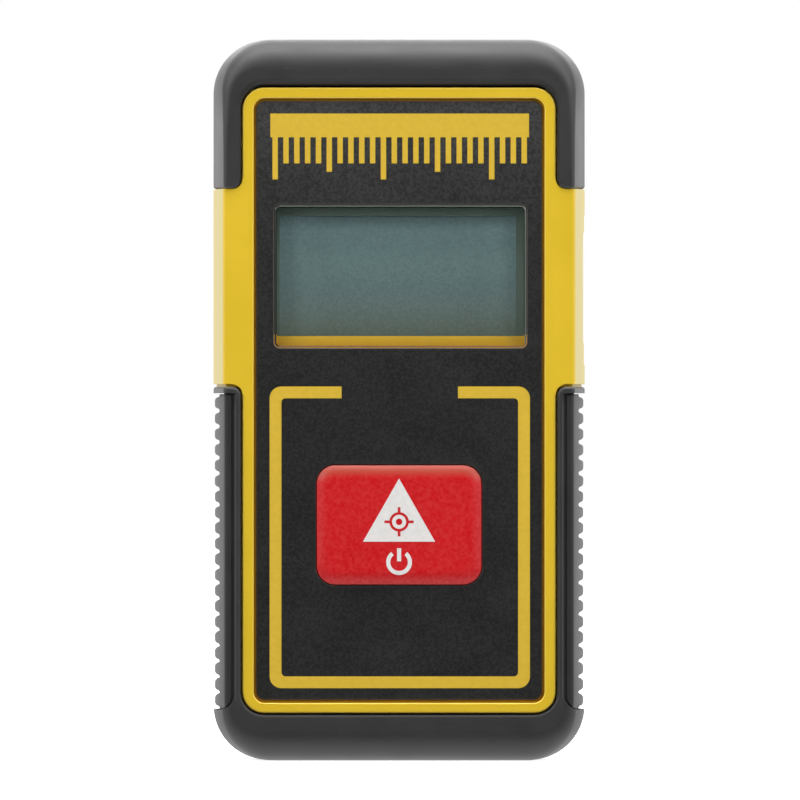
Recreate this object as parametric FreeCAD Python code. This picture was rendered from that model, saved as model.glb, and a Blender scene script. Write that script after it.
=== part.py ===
import FreeCAD, Part
import math
import os

from FreeCAD import Vector

# Pocket laser distance meter, in millimetres. It stands on its lower end with +Z towards the
# laser end. The display faces -Y and the label side faces +Y. The origin is the middle of the
# lower end.

# Outer body
WIDTH = 41.3
THICKNESS = 17.0
LENGTH = 80.0
CROWN_R = 29.0              # gentle crown of the long sides
CORNER_R = 6.0              # outline corners
SIDE_EDGE_R = 0.45          # long edges of the two faces
CORNER_EDGE_R = 1.3         # the same edges where they reach an outline corner
EDGE_FADE_Z = 16.4          # distance from an end at which they have narrowed again
END_EDGE_R = 3.4            # soft edges of the two ends
FACE = THICKNESS / 2
FORM_LENGTH = LENGTH / 2 + 4      # length of the mirrored outer form at each end

# Depths, measured from the mid plane
SHELL_FACE = 8.2            # yellow faces, just under the rubber
FLANGE_FACE = 6.9           # shell faces under the rubber
PANEL_FLOOR = 7.6           # floor of the front recess
PANEL_FACE = 7.9            # face of the front overlay
WALL_INSIDE = 6.2           # inner face of the front wall
REAR_INSIDE = 6.6           # inner face of the rear wall
LABEL_FLOOR = 7.8

# Shell outlines: half width, low and high z, corner radius
CORE = (18.9, 1.7, 78.3, 4.5)
CAVITY = (17.2, 3.4, 76.6, 3.0)
TONGUE = (17.9, 2.7, 77.3, 3.7)
TONGUE_HEIGHT = 0.8
PLINTH = (17.35, 5.3, 74.63, 2.4)
RECESS = (16.12, 6.42, 73.45, 1.25)
OVERLAY = (15.87, 6.73, 73.15, 1.0)
OVERLAY_EDGE_R = 0.2        # rounded rim of the overlay
OPENING_EDGE_R = 0.12       # and of its two openings
EDGE_BREAK = 0.2            # softened edges of the yellow mouldings
RECESS_BREAK = 0.15

# Bare yellow shoulders between the two rubber boots
SHOULDER_Z = (41.75, 63.38)
BOOT_END_Z = (41.45, 63.48)
SHOULDER_STEP = 0.35        # depth of the gap line beside each boot
SHOULDER_EDGE_R = 0.4
SEAM_BREAK = 0.12           # chamfer either side of the parting line
NOTCH_R = 1.2               # inner corners of the shoulders
BOOT_GAP = 0.2              # open line between plinth and boot
BOOT_CORNER_R = 1.0
BOOT_EDGE_R = 0.3
BOOT_BROW_R = 0.8           # softer edge of the upper boot above the front and rear plinths

# Ribbed grip pads in the side rails
GRIP_Z = (5.7, 40.65)
POCKET_Z = (5.6, 40.75)
GRIP_INNER = 18.62
GROOVE_INNER = 18.2
GROOVE_FLOOR = 8.2
GRIP_SEAT_X = 19.4
GRIP_SEAT_Y = 7.3
GRIP_FACE = 8.35
GRIP_INSET = 0.15
GRIP_CORNER_R = 1.5
RIB_PITCH = 1.737
RIB_FIRST_Z = 40.55
RIB_GROOVES = 21
RIB_FLOOR_X = 19.92
RIB_FLOOR_R = 0.26
RIB_CREST_R = 0.42

# Display window and display
PANE_X = (-13.8, 14.1)
PANE_Z = (45.85, 61.6)
PANE_R = 0.6
PANE_FACE = 7.75
PANE_BACK = 6.9
PANE_GAP = 0.08
SIGHT_X = (-13.55, 13.85)
SIGHT_Z = (47.1, 61.3)
LCD_X = (-13.4, 13.4)
LCD_Z = (45.7, 61.9)
LCD_FACE = 5.8
LCD_BACK = 4.2
LCD_VIEW_X = (-13.25, 12.95)
LCD_VIEW_Z = (47.05, 60.45)

# Measuring button
BUTTON_Z = 26.15
BUTTON_SIZE = (18.25, 13.2)
BUTTON_R = 2.05
BUTTON_FACE = 8.43
BUTTON_GAP = 0.12
BUTTON_EDGE_R = 2.14        # cushioned edge, which would run out flat outside the outline
BUTTON_EDGE_OUTSIDE = 0.71  # this far outside it

# Circuit board
BOARD_X = 16.4
BOARD_Z = (6.2, 61.5)
BOARD_FRONT = -2.6
BOARD_BACK = -1.6
STANDOFFS = [(-14.2, 41.0), (14.2, 41.0), (-14.2, 20.0), (14.2, 20.0)]
SHELL_SCREWS = [(-14.2, 9.4), (14.2, 9.4), (-14.2, 70.6), (14.2, 70.6)]
OPTICS_SCREWS = [(-15.2, 59.3), (15.2, 59.3)]

# Optics at the upper end
OPTICS_Y = 0.7
LASER_X = -7.2
RECEIVER_X = 5.9
OPTICS_Z = (62.6, 75.5)
LENS_R = 4.45
BEZEL_X = (-12.9, 11.6)
BEZEL_HALF = 5.2
BEZEL_TOP = 79.7

# Charging socket on the right-hand side
SOCKET_Y = -0.3
SOCKET_Z = 52.5
SOCKET_MOUTH_X = 18.9
SOCKET_SIZE = (7.5, 2.6)
FLAP_Y = (-3.3, 2.7)
FLAP_Z = (46.35, 58.65)
FLAP_INSIDE_X = 19.45
FLAP_GAP = 0.15
FLAP_INSET = 0.22           # how far the flap lies below the crowned side
ANCHOR_Z = (43.9, 46.15)
ANCHOR_Y = (-2.6, 2.0)
ANCHOR_ROOT = (-1.5, 45.0)
HINGE_X = WIDTH / 2 + 0.15
HINGE_Z = 46.3
HINGE_SCOOP_R = 0.6
FLAP_RIBS_Z = (56.0, 56.8, 57.6)

TINY = 1e-4


def box(xs, ys, zs):
    """Block between a low and a high value on each axis."""
    corner = Vector(xs[0], ys[0], zs[0])
    return Part.makeBox(xs[1] - xs[0], ys[1] - ys[0], zs[1] - zs[0], corner)


def rod(start, axis, radius, length):
    return Part.makeCylinder(radius, length, Vector(*start), Vector(*axis))


def along(shape, axis):
    """Straight edges of a shape that run along one axis."""
    others = [i for i in range(3) if i != axis]

    def runs_along(edge):
        bounds = edge.BoundBox
        size = (bounds.XLength, bounds.YLength, bounds.ZLength)
        return size[axis] > TINY and all(size[i] < TINY for i in others)

    return [edge for edge in shape.Edges if runs_along(edge)]


def in_plane(shape, axis, value):
    """Edges of a shape that lie wholly in a plane square to one axis."""
    found = []
    for edge in shape.Edges:
        bounds = edge.BoundBox
        low = (bounds.XMin, bounds.YMin, bounds.ZMin)[axis]
        high = (bounds.XMax, bounds.YMax, bounds.ZMax)[axis]
        if abs(low - value) < 0.01 and abs(high - value) < 0.01:
            found.append(edge)
    return found


def rounded_box(xs, ys, zs, radius, axis):
    """Block with the four edges along one axis rounded."""
    block = box(xs, ys, zs)
    return block.makeFillet(radius, along(block, axis))


def plate(outline, ys):
    """Rounded rectangle seen from the front: half width, low z, high z and corner radius."""
    half, low, high, radius = outline
    return rounded_box((-half, half), ys, (low, high), radius, 1)


def grown(outline, extra):
    half, low, high, radius = outline
    return (half + extra, low - extra, high + extra, radius + extra)


def stadium(xs, half, zs):
    """Slot-shaped block around the optical axis, seen from above."""
    ys = (OPTICS_Y - half, OPTICS_Y + half)
    return rounded_box(xs, ys, zs, half - 0.01, 2)


def crown_x(y, inset=0.0):
    """Half width of the crowned body at a depth y."""
    return WIDTH / 2 - inset - CROWN_R + math.sqrt(CROWN_R**2 - y**2)


def crowned(y_low, y_high, zs, inset=0.0):
    """Length of the body between two depths, with its crowned sides."""
    mid = (y_low + y_high) / 2
    low_x = crown_x(y_low, inset)
    high_x = crown_x(y_high, inset)
    mid_x = crown_x(mid, inset)
    z = zs[0]
    right = Part.Arc(Vector(low_x, y_low, z), Vector(mid_x, mid, z), Vector(high_x, y_high, z))
    left = Part.Arc(Vector(-high_x, y_high, z), Vector(-mid_x, mid, z), Vector(-low_x, y_low, z))
    edges = [
        Part.makeLine(Vector(-low_x, y_low, z), Vector(low_x, y_low, z)),
        right.toShape(),
        Part.makeLine(Vector(high_x, y_high, z), Vector(-high_x, y_high, z)),
        left.toShape(),
    ]
    return Part.Face(Part.Wire(edges)).extrude(Vector(0, 0, zs[1] - zs[0]))


def fillet_each(shape, radii):
    """Round edges with a start and an end radius of their own: (number, start, end)."""
    document = FreeCAD.newDocument()
    base = document.addObject("Part::Feature", "base")
    base.Shape = shape
    fillet = document.addObject("Part::Fillet", "fillet")
    fillet.Base = base
    fillet.Edges = radii
    document.recompute()
    result = fillet.Shape.copy()
    FreeCAD.closeDocument(document.Name)
    return result.Solids[0]


def lower_form():
    """Outer form of the lower half of the body, rubber included. The upper half mirrors it."""
    end = crowned(-FACE, FACE, (0, EDGE_FADE_Z))
    end = end.makeFillet(CORNER_R, [e for e in in_plane(end, 2, 0) if e.BoundBox.YLength > 1])
    body = end.fuse(crowned(-FACE, FACE, (EDGE_FADE_Z, FORM_LENGTH)))
    radii = []
    for number, edge in enumerate(body.Edges, 1):
        bounds = edge.BoundBox
        crosswise = bounds.ZLength < TINY
        if bounds.YLength > 0.01 or abs(abs(bounds.YMin) - FACE) > 0.01 or (crosswise and bounds.ZMin > 1):
            continue
        if crosswise:
            radii.append((number, END_EDGE_R, END_EDGE_R))
        elif bounds.ZMax > EDGE_FADE_Z + 1:
            radii.append((number, SIDE_EDGE_R, SIDE_EDGE_R))
        else:
            narrow, wide = (CORNER_EDGE_R, END_EDGE_R) if bounds.XLength > 1 else (SIDE_EDGE_R, CORNER_EDGE_R)
            # Each face's rounded edge is one chain, and its radii are given from right to left.
            ends = (narrow, wide) if bounds.XMin > 0 else (wide, narrow)
            radii.append((number, *ends))
    return fillet_each(body, radii)


def lens(x, y, z, radius, edge, bulge_down, bulge_up):
    """Round lens about a vertical axis, from its rim height and the bulge of each face."""
    top = z + edge
    rim = [Vector(x + radius, y, z), Vector(x + radius, y, top)]
    edges = [Part.makeLine(rim[0], rim[1])]

    def face_curve(level, bulge):
        """Half of a lens face, from its rim to the axis."""
        if abs(bulge) < TINY:
            return Part.makeLine(Vector(x + radius, y, level), Vector(x, y, level))
        ball = (radius**2 + bulge**2) / (2 * abs(bulge))
        half = math.asin(radius / ball) / 2
        drop = ball * (1 - math.cos(half))
        middle_z = level + bulge - math.copysign(drop, bulge)
        middle = Vector(x + ball * math.sin(half), y, middle_z)
        return Part.Arc(Vector(x + radius, y, level), middle, Vector(x, y, level + bulge)).toShape()

    edges.append(face_curve(top, bulge_up))
    edges.append(Part.makeLine(Vector(x, y, top + bulge_up), Vector(x, y, z - bulge_down)))
    edges.append(face_curve(z, -bulge_down))
    profile = Part.Face(Part.Wire(Part.__sortEdges__(edges)))
    return profile.revolve(Vector(x, y, z), Vector(0, 0, 1), 360)


def screw(x, z, seat, head_r, head_height, shank_r, shank_length, direction):
    """Cross-head screw along Y. direction is +1 when the head faces +Y."""
    toward = (0, direction, 0)
    away = (0, -direction, 0)
    head = rod((x, seat, z), toward, head_r, head_height)
    rim = in_plane(head, 1, seat + direction * head_height)
    head = head.makeFillet(head_height * 0.35, rim)
    body = head.fuse(rod((x, seat, z), away, shank_r, shank_length))
    top = seat + direction * head_height
    floor = top - direction * head_height * 0.6
    ys = (min(top, floor), max(top, floor) + 0.1) if direction > 0 else (top - 0.1, floor)
    arm = head_r * 0.6
    slot = head_r * 0.14
    body = body.cut(box((x - arm, x + arm), ys, (z - slot, z + slot)))
    return body.cut(box((x - slot, x + slot), ys, (z - arm, z + arm)))


def lead(points, radius, bend):
    """Short insulated wire with one rounded bend."""
    start, corner, end = [Vector(*point) for point in points]
    first = (corner - start).normalize()
    second = (end - corner).normalize()
    turn_in = corner - first * bend
    turn_out = corner + second * bend
    middle = corner + (second - first) * bend * (1 - math.sqrt(0.5))
    path = Part.Wire([
        Part.makeLine(start, turn_in),
        Part.Arc(turn_in, middle, turn_out).toShape(),
        Part.makeLine(turn_out, end),
    ])
    section = Part.Wire(Part.makeCircle(radius, start, first))
    return path.makePipeShell([section], True, False)


def shoulder_corners(side):
    """Rounded fill in the four inner corners between plinth and shoulders."""
    low, high = sorted((side * SHELL_FACE, side * (FLANGE_FACE - 0.2)))
    fills = []
    for sign in (-1, 1):
        inner = sign * (PLINTH[0] - 0.3)
        centre = sign * (PLINTH[0] + NOTCH_R)
        for edge_z, up in ((SHOULDER_Z[0], -1), (SHOULDER_Z[1], 1)):
            centre_z = edge_z + up * NOTCH_R
            xs = tuple(sorted((inner, centre)))
            zs = tuple(sorted((edge_z - up * 0.3, centre_z)))
            fill = box(xs, (low, high), zs)
            fills.append(fill.cut(rod((centre, low - 1, centre_z), (0, 1, 0), NOTCH_R, high - low + 2)))
    return fills


def shell_blank(side):
    """Solid outer form of one half shell. side is -1 for the front and +1 for the rear."""
    def span(inner, outer):
        return tuple(sorted((side * inner, side * outer)))

    core = plate(CORE, span(0, FLANGE_FACE))
    plinth = plate(PLINTH, span(FLANGE_FACE - 0.2, SHELL_FACE))
    plinth = plinth.makeFillet(EDGE_BREAK, in_plane(plinth, 1, side * SHELL_FACE))
    low, high = span(0, SHELL_FACE)
    shoulder = crowned(low, high, SHOULDER_Z)
    long_edges = [e for e in in_plane(shoulder, 1, side * SHELL_FACE) if e.BoundBox.ZLength > 1]
    shoulder = shoulder.makeFillet(SHOULDER_EDGE_R, long_edges)
    seam_edges = [e for e in in_plane(shoulder, 1, 0) if e.BoundBox.ZLength > 1]
    shoulder = shoulder.makeChamfer(SEAM_BREAK, seam_edges)
    step_low, step_high = span(0, SHELL_FACE - SHOULDER_STEP)
    step = crowned(step_low, step_high, BOOT_END_Z, SHOULDER_STEP)
    return core.multiFuse([plinth, step, shoulder] + shoulder_corners(side)).removeSplitter()


def socket_cuts():
    """Space in both half shells for the charging socket, its flap and the flap's anchor."""
    length, height = SOCKET_SIZE
    port = box((CAVITY[0] - 1, FLAP_INSIDE_X + 0.1),
               (SOCKET_Y - height / 2 - 0.3, SOCKET_Y + height / 2 + 0.3),
               (SOCKET_Z - length / 2 - 0.3, SOCKET_Z + length / 2 + 0.3))
    pocket = rounded_box((FLAP_INSIDE_X - 0.1, WIDTH),
                         (FLAP_Y[0] - FLAP_GAP, FLAP_Y[1] + FLAP_GAP),
                         (FLAP_Z[0] - FLAP_GAP, FLAP_Z[1] + FLAP_GAP), 0.9, 0)
    anchor = rounded_box((18.3, WIDTH), ANCHOR_Y, (ANCHOR_Z[0], FLAP_Z[0]), 0.5, 0)
    root_y, root_z = ANCHOR_ROOT
    root = rod((CAVITY[0] - 1, root_y, root_z), (1, 0, 0), 0.8, 3)
    nail = rod((22.3, SOCKET_Y - 2.0, FLAP_Z[1] + 0.2), (0, 1, 0), 2.4, 4.0)
    return port.multiFuse([pocket, anchor, root, nail])


def bezel_cut():
    return stadium((BEZEL_X[0] - 0.1, BEZEL_X[1] + 0.1), BEZEL_HALF + 0.1, (CAVITY[2] - 1, LENGTH + 1))


def front_housing():
    shell = shell_blank(-1).cut(plate(CAVITY, (-WALL_INSIDE, 0.1)))
    tongue = plate(TONGUE, (-0.3, TONGUE_HEIGHT)).cut(plate(CAVITY, (-1, TONGUE_HEIGHT + 1)))
    bosses = [rod((x, -WALL_INSIDE - 0.3, z), (0, 1, 0), 2.6, WALL_INSIDE + 0.25) for x, z in SHELL_SCREWS]
    pillar = WALL_INSIDE + 0.3 + BOARD_FRONT
    pillars = [rod((x, -WALL_INSIDE - 0.3, z), (0, 1, 0), 1.9, pillar) for x, z in STANDOFFS]
    shell = shell.multiFuse([tongue] + bosses + pillars)
    recess = plate(RECESS, (-SHELL_FACE - 1, -PANEL_FLOOR))
    holes = [rod((x, -5.4, z), (0, 1, 0), 0.85, 6) for x, z in SHELL_SCREWS]
    holes += [rod((x, -5.4, z), (0, 1, 0), 0.75, 4) for x, z in STANDOFFS]
    shell = shell.cut(recess.multiFuse(holes + [window_cut(), button_cut(-WALL_INSIDE + 0.1)]))
    rim = [e for e in in_plane(shell, 1, -SHELL_FACE) if abs(e.BoundBox.Center.x) < RECESS[0] + 0.05
           and RECESS[1] - 0.05 < e.BoundBox.Center.z < RECESS[2] + 0.05]
    shell = shell.makeFillet(RECESS_BREAK, rim)
    return shell.cut(socket_cuts()).cut(bezel_cut()).removeSplitter()


def window_cut():
    """Rebate for the window pane, and the sight opening with its sloping lower ledge."""
    gap = PANE_GAP
    rebate = rounded_box((PANE_X[0] - gap, PANE_X[1] + gap), (-PANEL_FACE - 1, -PANE_BACK),
                         (PANE_Z[0] - gap, PANE_Z[1] + gap), PANE_R + gap, 1)
    low, high = SIGHT_Z
    slope = [(-PANE_BACK - 0.1, PANE_Z[0] + 0.05), (-WALL_INSIDE, low), (-WALL_INSIDE + 0.2, low),
             (-WALL_INSIDE + 0.2, high), (-PANE_BACK - 0.1, high)]
    corners = [Vector(SIGHT_X[0], y, z) for y, z in slope]
    face = Part.Face(Part.makePolygon(corners + corners[:1]))
    return rebate.fuse(face.extrude(Vector(SIGHT_X[1] - SIGHT_X[0], 0, 0)))


def button_cut(back):
    half_x = BUTTON_SIZE[0] / 2 + BUTTON_GAP
    half_z = BUTTON_SIZE[1] / 2 + BUTTON_GAP
    return rounded_box((-half_x, half_x), (-PANEL_FACE - 1, back),
                       (BUTTON_Z - half_z, BUTTON_Z + half_z), BUTTON_R + BUTTON_GAP, 1)


def rear_housing():
    shell = shell_blank(1).cut(plate(CAVITY, (-0.1, REAR_INSIDE)))
    shell = shell.cut(plate(grown(TONGUE, 0.05), (-0.1, TONGUE_HEIGHT + 0.1)))
    bosses = [rod((x, 0.05, z), (0, 1, 0), 2.6, REAR_INSIDE + 0.3) for x, z in SHELL_SCREWS]
    cradle = [box((side * 11.6 - 0.4, side * 11.6 + 0.4), (3.2, REAR_INSIDE + 0.3), (12.5, 38.5))
              for side in (-1, 1)]
    shell = shell.multiFuse(bosses + cradle)
    cuts = [rod((x, -1, z), (0, 1, 0), 1.1, FACE) for x, z in SHELL_SCREWS]
    cuts += [rod((x, 6.3, z), (0, 1, 0), 1.95, FACE) for x, z in SHELL_SCREWS]
    cuts.append(rounded_box((-12.1, 12.1), (LABEL_FLOOR, FACE), (21.9, 58.1), 1.3, 1))
    shell = shell.cut(cuts[0].multiFuse(cuts[1:]))
    return shell.cut(socket_cuts()).cut(bezel_cut()).removeSplitter()


def boot(outer, zs, corner_z, up):
    """Rubber boot: the part of the outer form beyond the shells, open round both plinths."""
    boot_shape = outer.common(box((-WIDTH, WIDTH), (-FACE - 1, FACE + 1), zs))
    opening = plate(grown(PLINTH, BOOT_GAP), (-FACE - 1, FACE + 1))
    cuts = [opening, plate(CORE, (-FLANGE_FACE, FLANGE_FACE))]
    reach = BOOT_CORNER_R
    for sign in (-1, 1):
        inner = sign * (PLINTH[0] + BOOT_GAP - 0.1)
        centre = sign * (PLINTH[0] + BOOT_GAP + reach)
        centre_z = corner_z + up * reach
        fill = box(tuple(sorted((inner, centre))), (-FACE - 1, FACE + 1),
                   tuple(sorted((corner_z - up, centre_z))))
        cuts.append(fill.cut(rod((centre, -FACE - 2, centre_z), (0, 1, 0), reach, THICKNESS + 4)))
    return boot_shape.cut(cuts[0].multiFuse(cuts[1:]))


def nearest_x(bounds):
    """Smallest distance of an edge's box from the middle plane X = 0."""
    return min(abs(bounds.XMin), abs(bounds.XMax))


def boot_rim(shape, end_z):
    """Outer edges round the openings and ends of a boot."""
    chosen = []
    opening_x = PLINTH[0] + BOOT_GAP
    for edge in in_plane(shape, 1, -FACE) + in_plane(shape, 1, FACE):
        bounds = edge.BoundBox
        near_opening = nearest_x(bounds) < opening_x + 0.05 and 5 < bounds.Center.z < 75
        near_end = abs(bounds.Center.z - end_z) < 0.01
        if near_opening or near_end:
            chosen.append(edge)
    for edge in in_plane(shape, 2, end_z):
        if nearest_x(edge.BoundBox) > CORE[0] + 0.1 and edge.BoundBox.YLength > 0.1:
            chosen.append(edge)
    return chosen


def top_bumper(outer):
    """Upper boot, with a softer edge above the plinths than beside them."""
    shape = boot(outer, (BOOT_END_Z[1], LENGTH + 1), BOOT_END_Z[1], 1).cut(bezel_cut())
    rim = boot_rim(shape, BOOT_END_Z[1])
    radii = []
    for number, edge in enumerate(shape.Edges, 1):
        if not any(edge.isSame(other) for other in rim):
            continue
        bounds = edge.BoundBox
        if bounds.ZLength < TINY and bounds.Center.z > PLINTH[2]:
            radii.append((number, BOOT_BROW_R, BOOT_BROW_R))
        elif bounds.ZMax > PLINTH[2]:
            ends = (BOOT_EDGE_R, BOOT_BROW_R) if bounds.XMin > 0 else (BOOT_BROW_R, BOOT_EDGE_R)
            radii.append((number, *ends))
        else:
            radii.append((number, BOOT_EDGE_R, BOOT_EDGE_R))
    return fillet_each(shape, radii)


def grip_region(inner, zs, radius, sign, ys):
    """Side strip outside an inner x, with its lower inner corner rounded."""
    xs = tuple(sorted((sign * inner, sign * WIDTH)))
    block = box(xs, ys, zs)
    low_edge = [e for e in along(block, 1)
                if abs(e.BoundBox.Center.x - sign * inner) < TINY
                and abs(e.BoundBox.Center.z - zs[0]) < TINY]
    return block.makeFillet(radius, low_edge)


def grip_pocket(sign):
    """Space in the rail for one grip pad and the groove round it."""
    ys = (-FACE - 1, FACE + 1)
    groove = grip_region(GROOVE_INNER, POCKET_Z, GRIP_CORNER_R + 0.4, sign, ys)
    groove = groove.cut(box((-WIDTH, WIDTH), (-GROOVE_FLOOR, GROOVE_FLOOR), (0, LENGTH)))
    seat = grip_region(GRIP_INNER, POCKET_Z, GRIP_CORNER_R, sign, ys)
    seat = seat.cut(box((-GRIP_SEAT_X, GRIP_SEAT_X), (-GRIP_SEAT_Y, GRIP_SEAT_Y), (0, LENGTH)))
    return groove.fuse(seat)


def bottom_bumper(outer):
    shape = boot(outer, (-1, BOOT_END_Z[0]), BOOT_END_Z[0], -1)
    shape = shape.cut(grip_pocket(-1)).cut(grip_pocket(1))
    return shape.makeFillet(BOOT_EDGE_R, boot_rim(shape, BOOT_END_Z[0]))


def rib_cutter(z, sign):
    """Rounded groove between two ribs, running front to back."""
    floor_x = RIB_FLOOR_X + RIB_FLOOR_R
    crest_x = WIDTH / 2 - GRIP_INSET
    shoulder_x = crest_x - RIB_CREST_R
    reach = RIB_FLOOR_R + RIB_CREST_R
    rise = math.sqrt(reach**2 - (floor_x - shoulder_x)**2)
    share = RIB_FLOOR_R / reach

    def at(x, dz):
        return Vector(sign * x, -FACE - 1, z + dz)

    touch_x = floor_x + (shoulder_x - floor_x) * share
    lean = math.atan2(rise, floor_x - shoulder_x) / 2
    mid_x = shoulder_x + RIB_CREST_R * math.cos(lean)
    mid_dz = rise - RIB_CREST_R * math.sin(lean)
    outside = WIDTH / 2 + 1
    edges = [
        Part.Arc(at(crest_x, -rise), at(mid_x, -mid_dz), at(touch_x, -rise * share)).toShape(),
        Part.Arc(at(touch_x, -rise * share), at(RIB_FLOOR_X, 0), at(touch_x, rise * share)).toShape(),
        Part.Arc(at(touch_x, rise * share), at(mid_x, mid_dz), at(crest_x, rise)).toShape(),
        Part.makeLine(at(crest_x, rise), at(outside, rise)),
        Part.makeLine(at(outside, rise), at(outside, -rise)),
        Part.makeLine(at(outside, -rise), at(crest_x, -rise)),
    ]
    return Part.Face(Part.Wire(edges)).extrude(Vector(0, THICKNESS + 2, 0))


def grip(sign):
    bar = crowned(-GRIP_FACE, GRIP_FACE, GRIP_Z, GRIP_INSET)
    faces = in_plane(bar, 1, -GRIP_FACE) + in_plane(bar, 1, GRIP_FACE)
    bar = bar.makeFillet(SIDE_EDGE_R, [e for e in faces if e.BoundBox.ZLength > 1])
    ends = in_plane(bar, 2, GRIP_Z[0]) + in_plane(bar, 2, GRIP_Z[1])
    bar = bar.makeFillet(0.25, ends)
    ys = (-FACE - 1, FACE + 1)
    pad = bar.common(grip_region(GRIP_INNER, GRIP_Z, GRIP_CORNER_R, sign, ys))
    pad = pad.cut(box((-GRIP_SEAT_X, GRIP_SEAT_X), (-GRIP_SEAT_Y, GRIP_SEAT_Y), (0, LENGTH)))
    cutters = [rib_cutter(RIB_FIRST_Z - i * RIB_PITCH, sign) for i in range(RIB_GROOVES)]
    return pad.cut(cutters[0].multiFuse(cutters[1:]))


def faceplate_overlay():
    half, low, high, _ = OVERLAY
    sheet = plate(OVERLAY, (-PANEL_FACE, -PANEL_FLOOR))
    sheet = sheet.makeFillet(OVERLAY_EDGE_R, in_plane(sheet, 1, -PANEL_FACE))
    gap = PANE_GAP
    window = rounded_box((PANE_X[0] - gap, PANE_X[1] + gap), (-FACE, 0),
                         (PANE_Z[0] - gap, PANE_Z[1] + gap), PANE_R + gap, 1)
    sheet = sheet.cut(window).cut(button_cut(0))
    rims = [e for e in in_plane(sheet, 1, -PANEL_FACE)
            if abs(e.BoundBox.Center.x) < half - 1 and low + 1 < e.BoundBox.Center.z < high - 1]
    return sheet.makeFillet(OPENING_EDGE_R, rims)


def rear_label():
    sheet = rounded_box((-12, 12), (LABEL_FLOOR, LABEL_FLOOR + 0.3), (22, 58), 1.2, 1)
    return sheet.makeFillet(0.08, in_plane(sheet, 1, LABEL_FLOOR + 0.3))


def display_window():
    pane = rounded_box(PANE_X, (-PANE_FACE, -PANE_BACK), PANE_Z, PANE_R, 1)
    return pane.makeChamfer(0.1, in_plane(pane, 1, -PANE_FACE))


def display_gasket():
    frame = rounded_box((-14.2, 14.4), (-WALL_INSIDE, -LCD_FACE), (45.3, 62.3), 0.6, 1)
    view = box(LCD_VIEW_X, (-FACE, 0), LCD_VIEW_Z)
    return frame.cut(view)


def lcd_panel():
    """Front and back glass in one solid, with the contact ledge left bare along its lower edge."""
    front = box(LCD_X, (-LCD_FACE, -LCD_FACE + 0.8), LCD_Z)
    back = box(LCD_X, (-LCD_FACE + 0.8, -LCD_BACK), (LCD_Z[0] + 1.8, LCD_Z[1]))
    return front.fuse(back).removeSplitter()


def lcd_reflector():
    return box((-13.1, 13.1), (-LCD_BACK, -LCD_BACK + 0.15), (48.0, 61.5))


def strip_zone(extra):
    return box((-12.2 - extra, 12.2 + extra), (-LCD_FACE + 0.8, BOARD_FRONT), (45.9 - extra, 47.3 + extra))


def lcd_holder():
    frame = box((-13.8, 13.8), (-LCD_FACE, BOARD_FRONT), (45.3, 62.3))
    frame = frame.cut(box(LCD_X, (-FACE, -LCD_BACK + 0.15), LCD_Z))
    frame = frame.cut(strip_zone(0.05))
    vents = [box((x - 2.6, x + 2.6), (-FACE, 0), (50.0, 59.0)) for x in (-9.0, -3.0, 3.0, 9.0)]
    return frame.cut(vents[0].multiFuse(vents[1:]))


def lcd_connector_strip():
    return strip_zone(0)


def measure_button():
    half_x, half_z = BUTTON_SIZE[0] / 2, BUTTON_SIZE[1] / 2
    outline = (half_x, BUTTON_Z - half_z, BUTTON_Z + half_z, BUTTON_R)
    cushion = plate(grown(outline, BUTTON_EDGE_OUTSIDE), (-BUTTON_FACE, 0))
    cushion = cushion.makeFillet(BUTTON_EDGE_R, in_plane(cushion, 1, -BUTTON_FACE))
    cap = plate(outline, (-FACE, -WALL_INSIDE + 0.1)).common(cushion)
    flange = rounded_box((-10.25, 10.25), (-WALL_INSIDE + 0.05, -WALL_INSIDE + 0.85),
                         (BUTTON_Z - 7.7, BUTTON_Z + 7.7), 2.2, 1)
    stem = rod((0, -WALL_INSIDE + 0.5, BUTTON_Z), (0, 1, 0), 1.5, 0.9)
    return cap.multiFuse([flange, stem]).removeSplitter()


def switch_body():
    body = rounded_box((-3, 3), (-4.1, BOARD_FRONT), (BUTTON_Z - 3, BUTTON_Z + 3), 0.5, 1)
    body = body.cut(rod((0, -5, BUTTON_Z), (0, 1, 0), 1.75, 2.15))
    legs = [box((x - 0.35, x + 0.35), (BOARD_FRONT - 0.25, BOARD_FRONT),
                (BUTTON_Z + side * 3 - 0.8, BUTTON_Z + side * 3 + 0.8))
            for x in (-2.2, 2.2) for side in (-1, 1)]
    return body.multiFuse(legs).removeSplitter()


def switch_plunger():
    pin = rod((0, -4.75, BUTTON_Z), (0, 1, 0), 1.7, 1.3)
    return pin.makeFillet(0.2, in_plane(pin, 1, -4.75))


def main_board():
    board = rounded_box((-BOARD_X, BOARD_X), (BOARD_FRONT, BOARD_BACK), BOARD_Z, 1.5, 1)
    holes = [rod((x, -4, z), (0, 1, 0), 2.9, 4) for x, z in SHELL_SCREWS[:2]]
    holes += [rod((x, -4, z), (0, 1, 0), 0.9, 4) for x, z in STANDOFFS + OPTICS_SCREWS]
    return board.cut(holes[0].multiFuse(holes[1:]))


def chip(xs, zs, height):
    """Flat package on the rear of the board, with a marked corner."""
    body = box(xs, (BOARD_BACK, BOARD_BACK + height), zs)
    corner = [e for e in along(body, 1) if e.BoundBox.Center.x < xs[0] + TINY
              and e.BoundBox.Center.z > zs[1] - TINY]
    return body.makeChamfer(min(xs[1] - xs[0], zs[1] - zs[0]) * 0.12, corner)


def receiver_shield():
    can = rounded_box((1.4, 10.6), (BOARD_BACK, BOARD_BACK + 2.2), (49.6, 58.6), 0.4, 1)
    return can.cut(box((1.6, 10.4), (BOARD_BACK - 1, BOARD_BACK + 2.0), (49.8, 58.4)))


def small_parts(places, size):
    """Row of equal small parts on the rear of the board, as separate solids."""
    width, height, length = size
    blocks = [box((x - width / 2, x + width / 2), (BOARD_BACK, BOARD_BACK + height),
                  (z - length / 2, z + length / 2)) for x, z in places]
    return Part.makeCompound(blocks)


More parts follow.
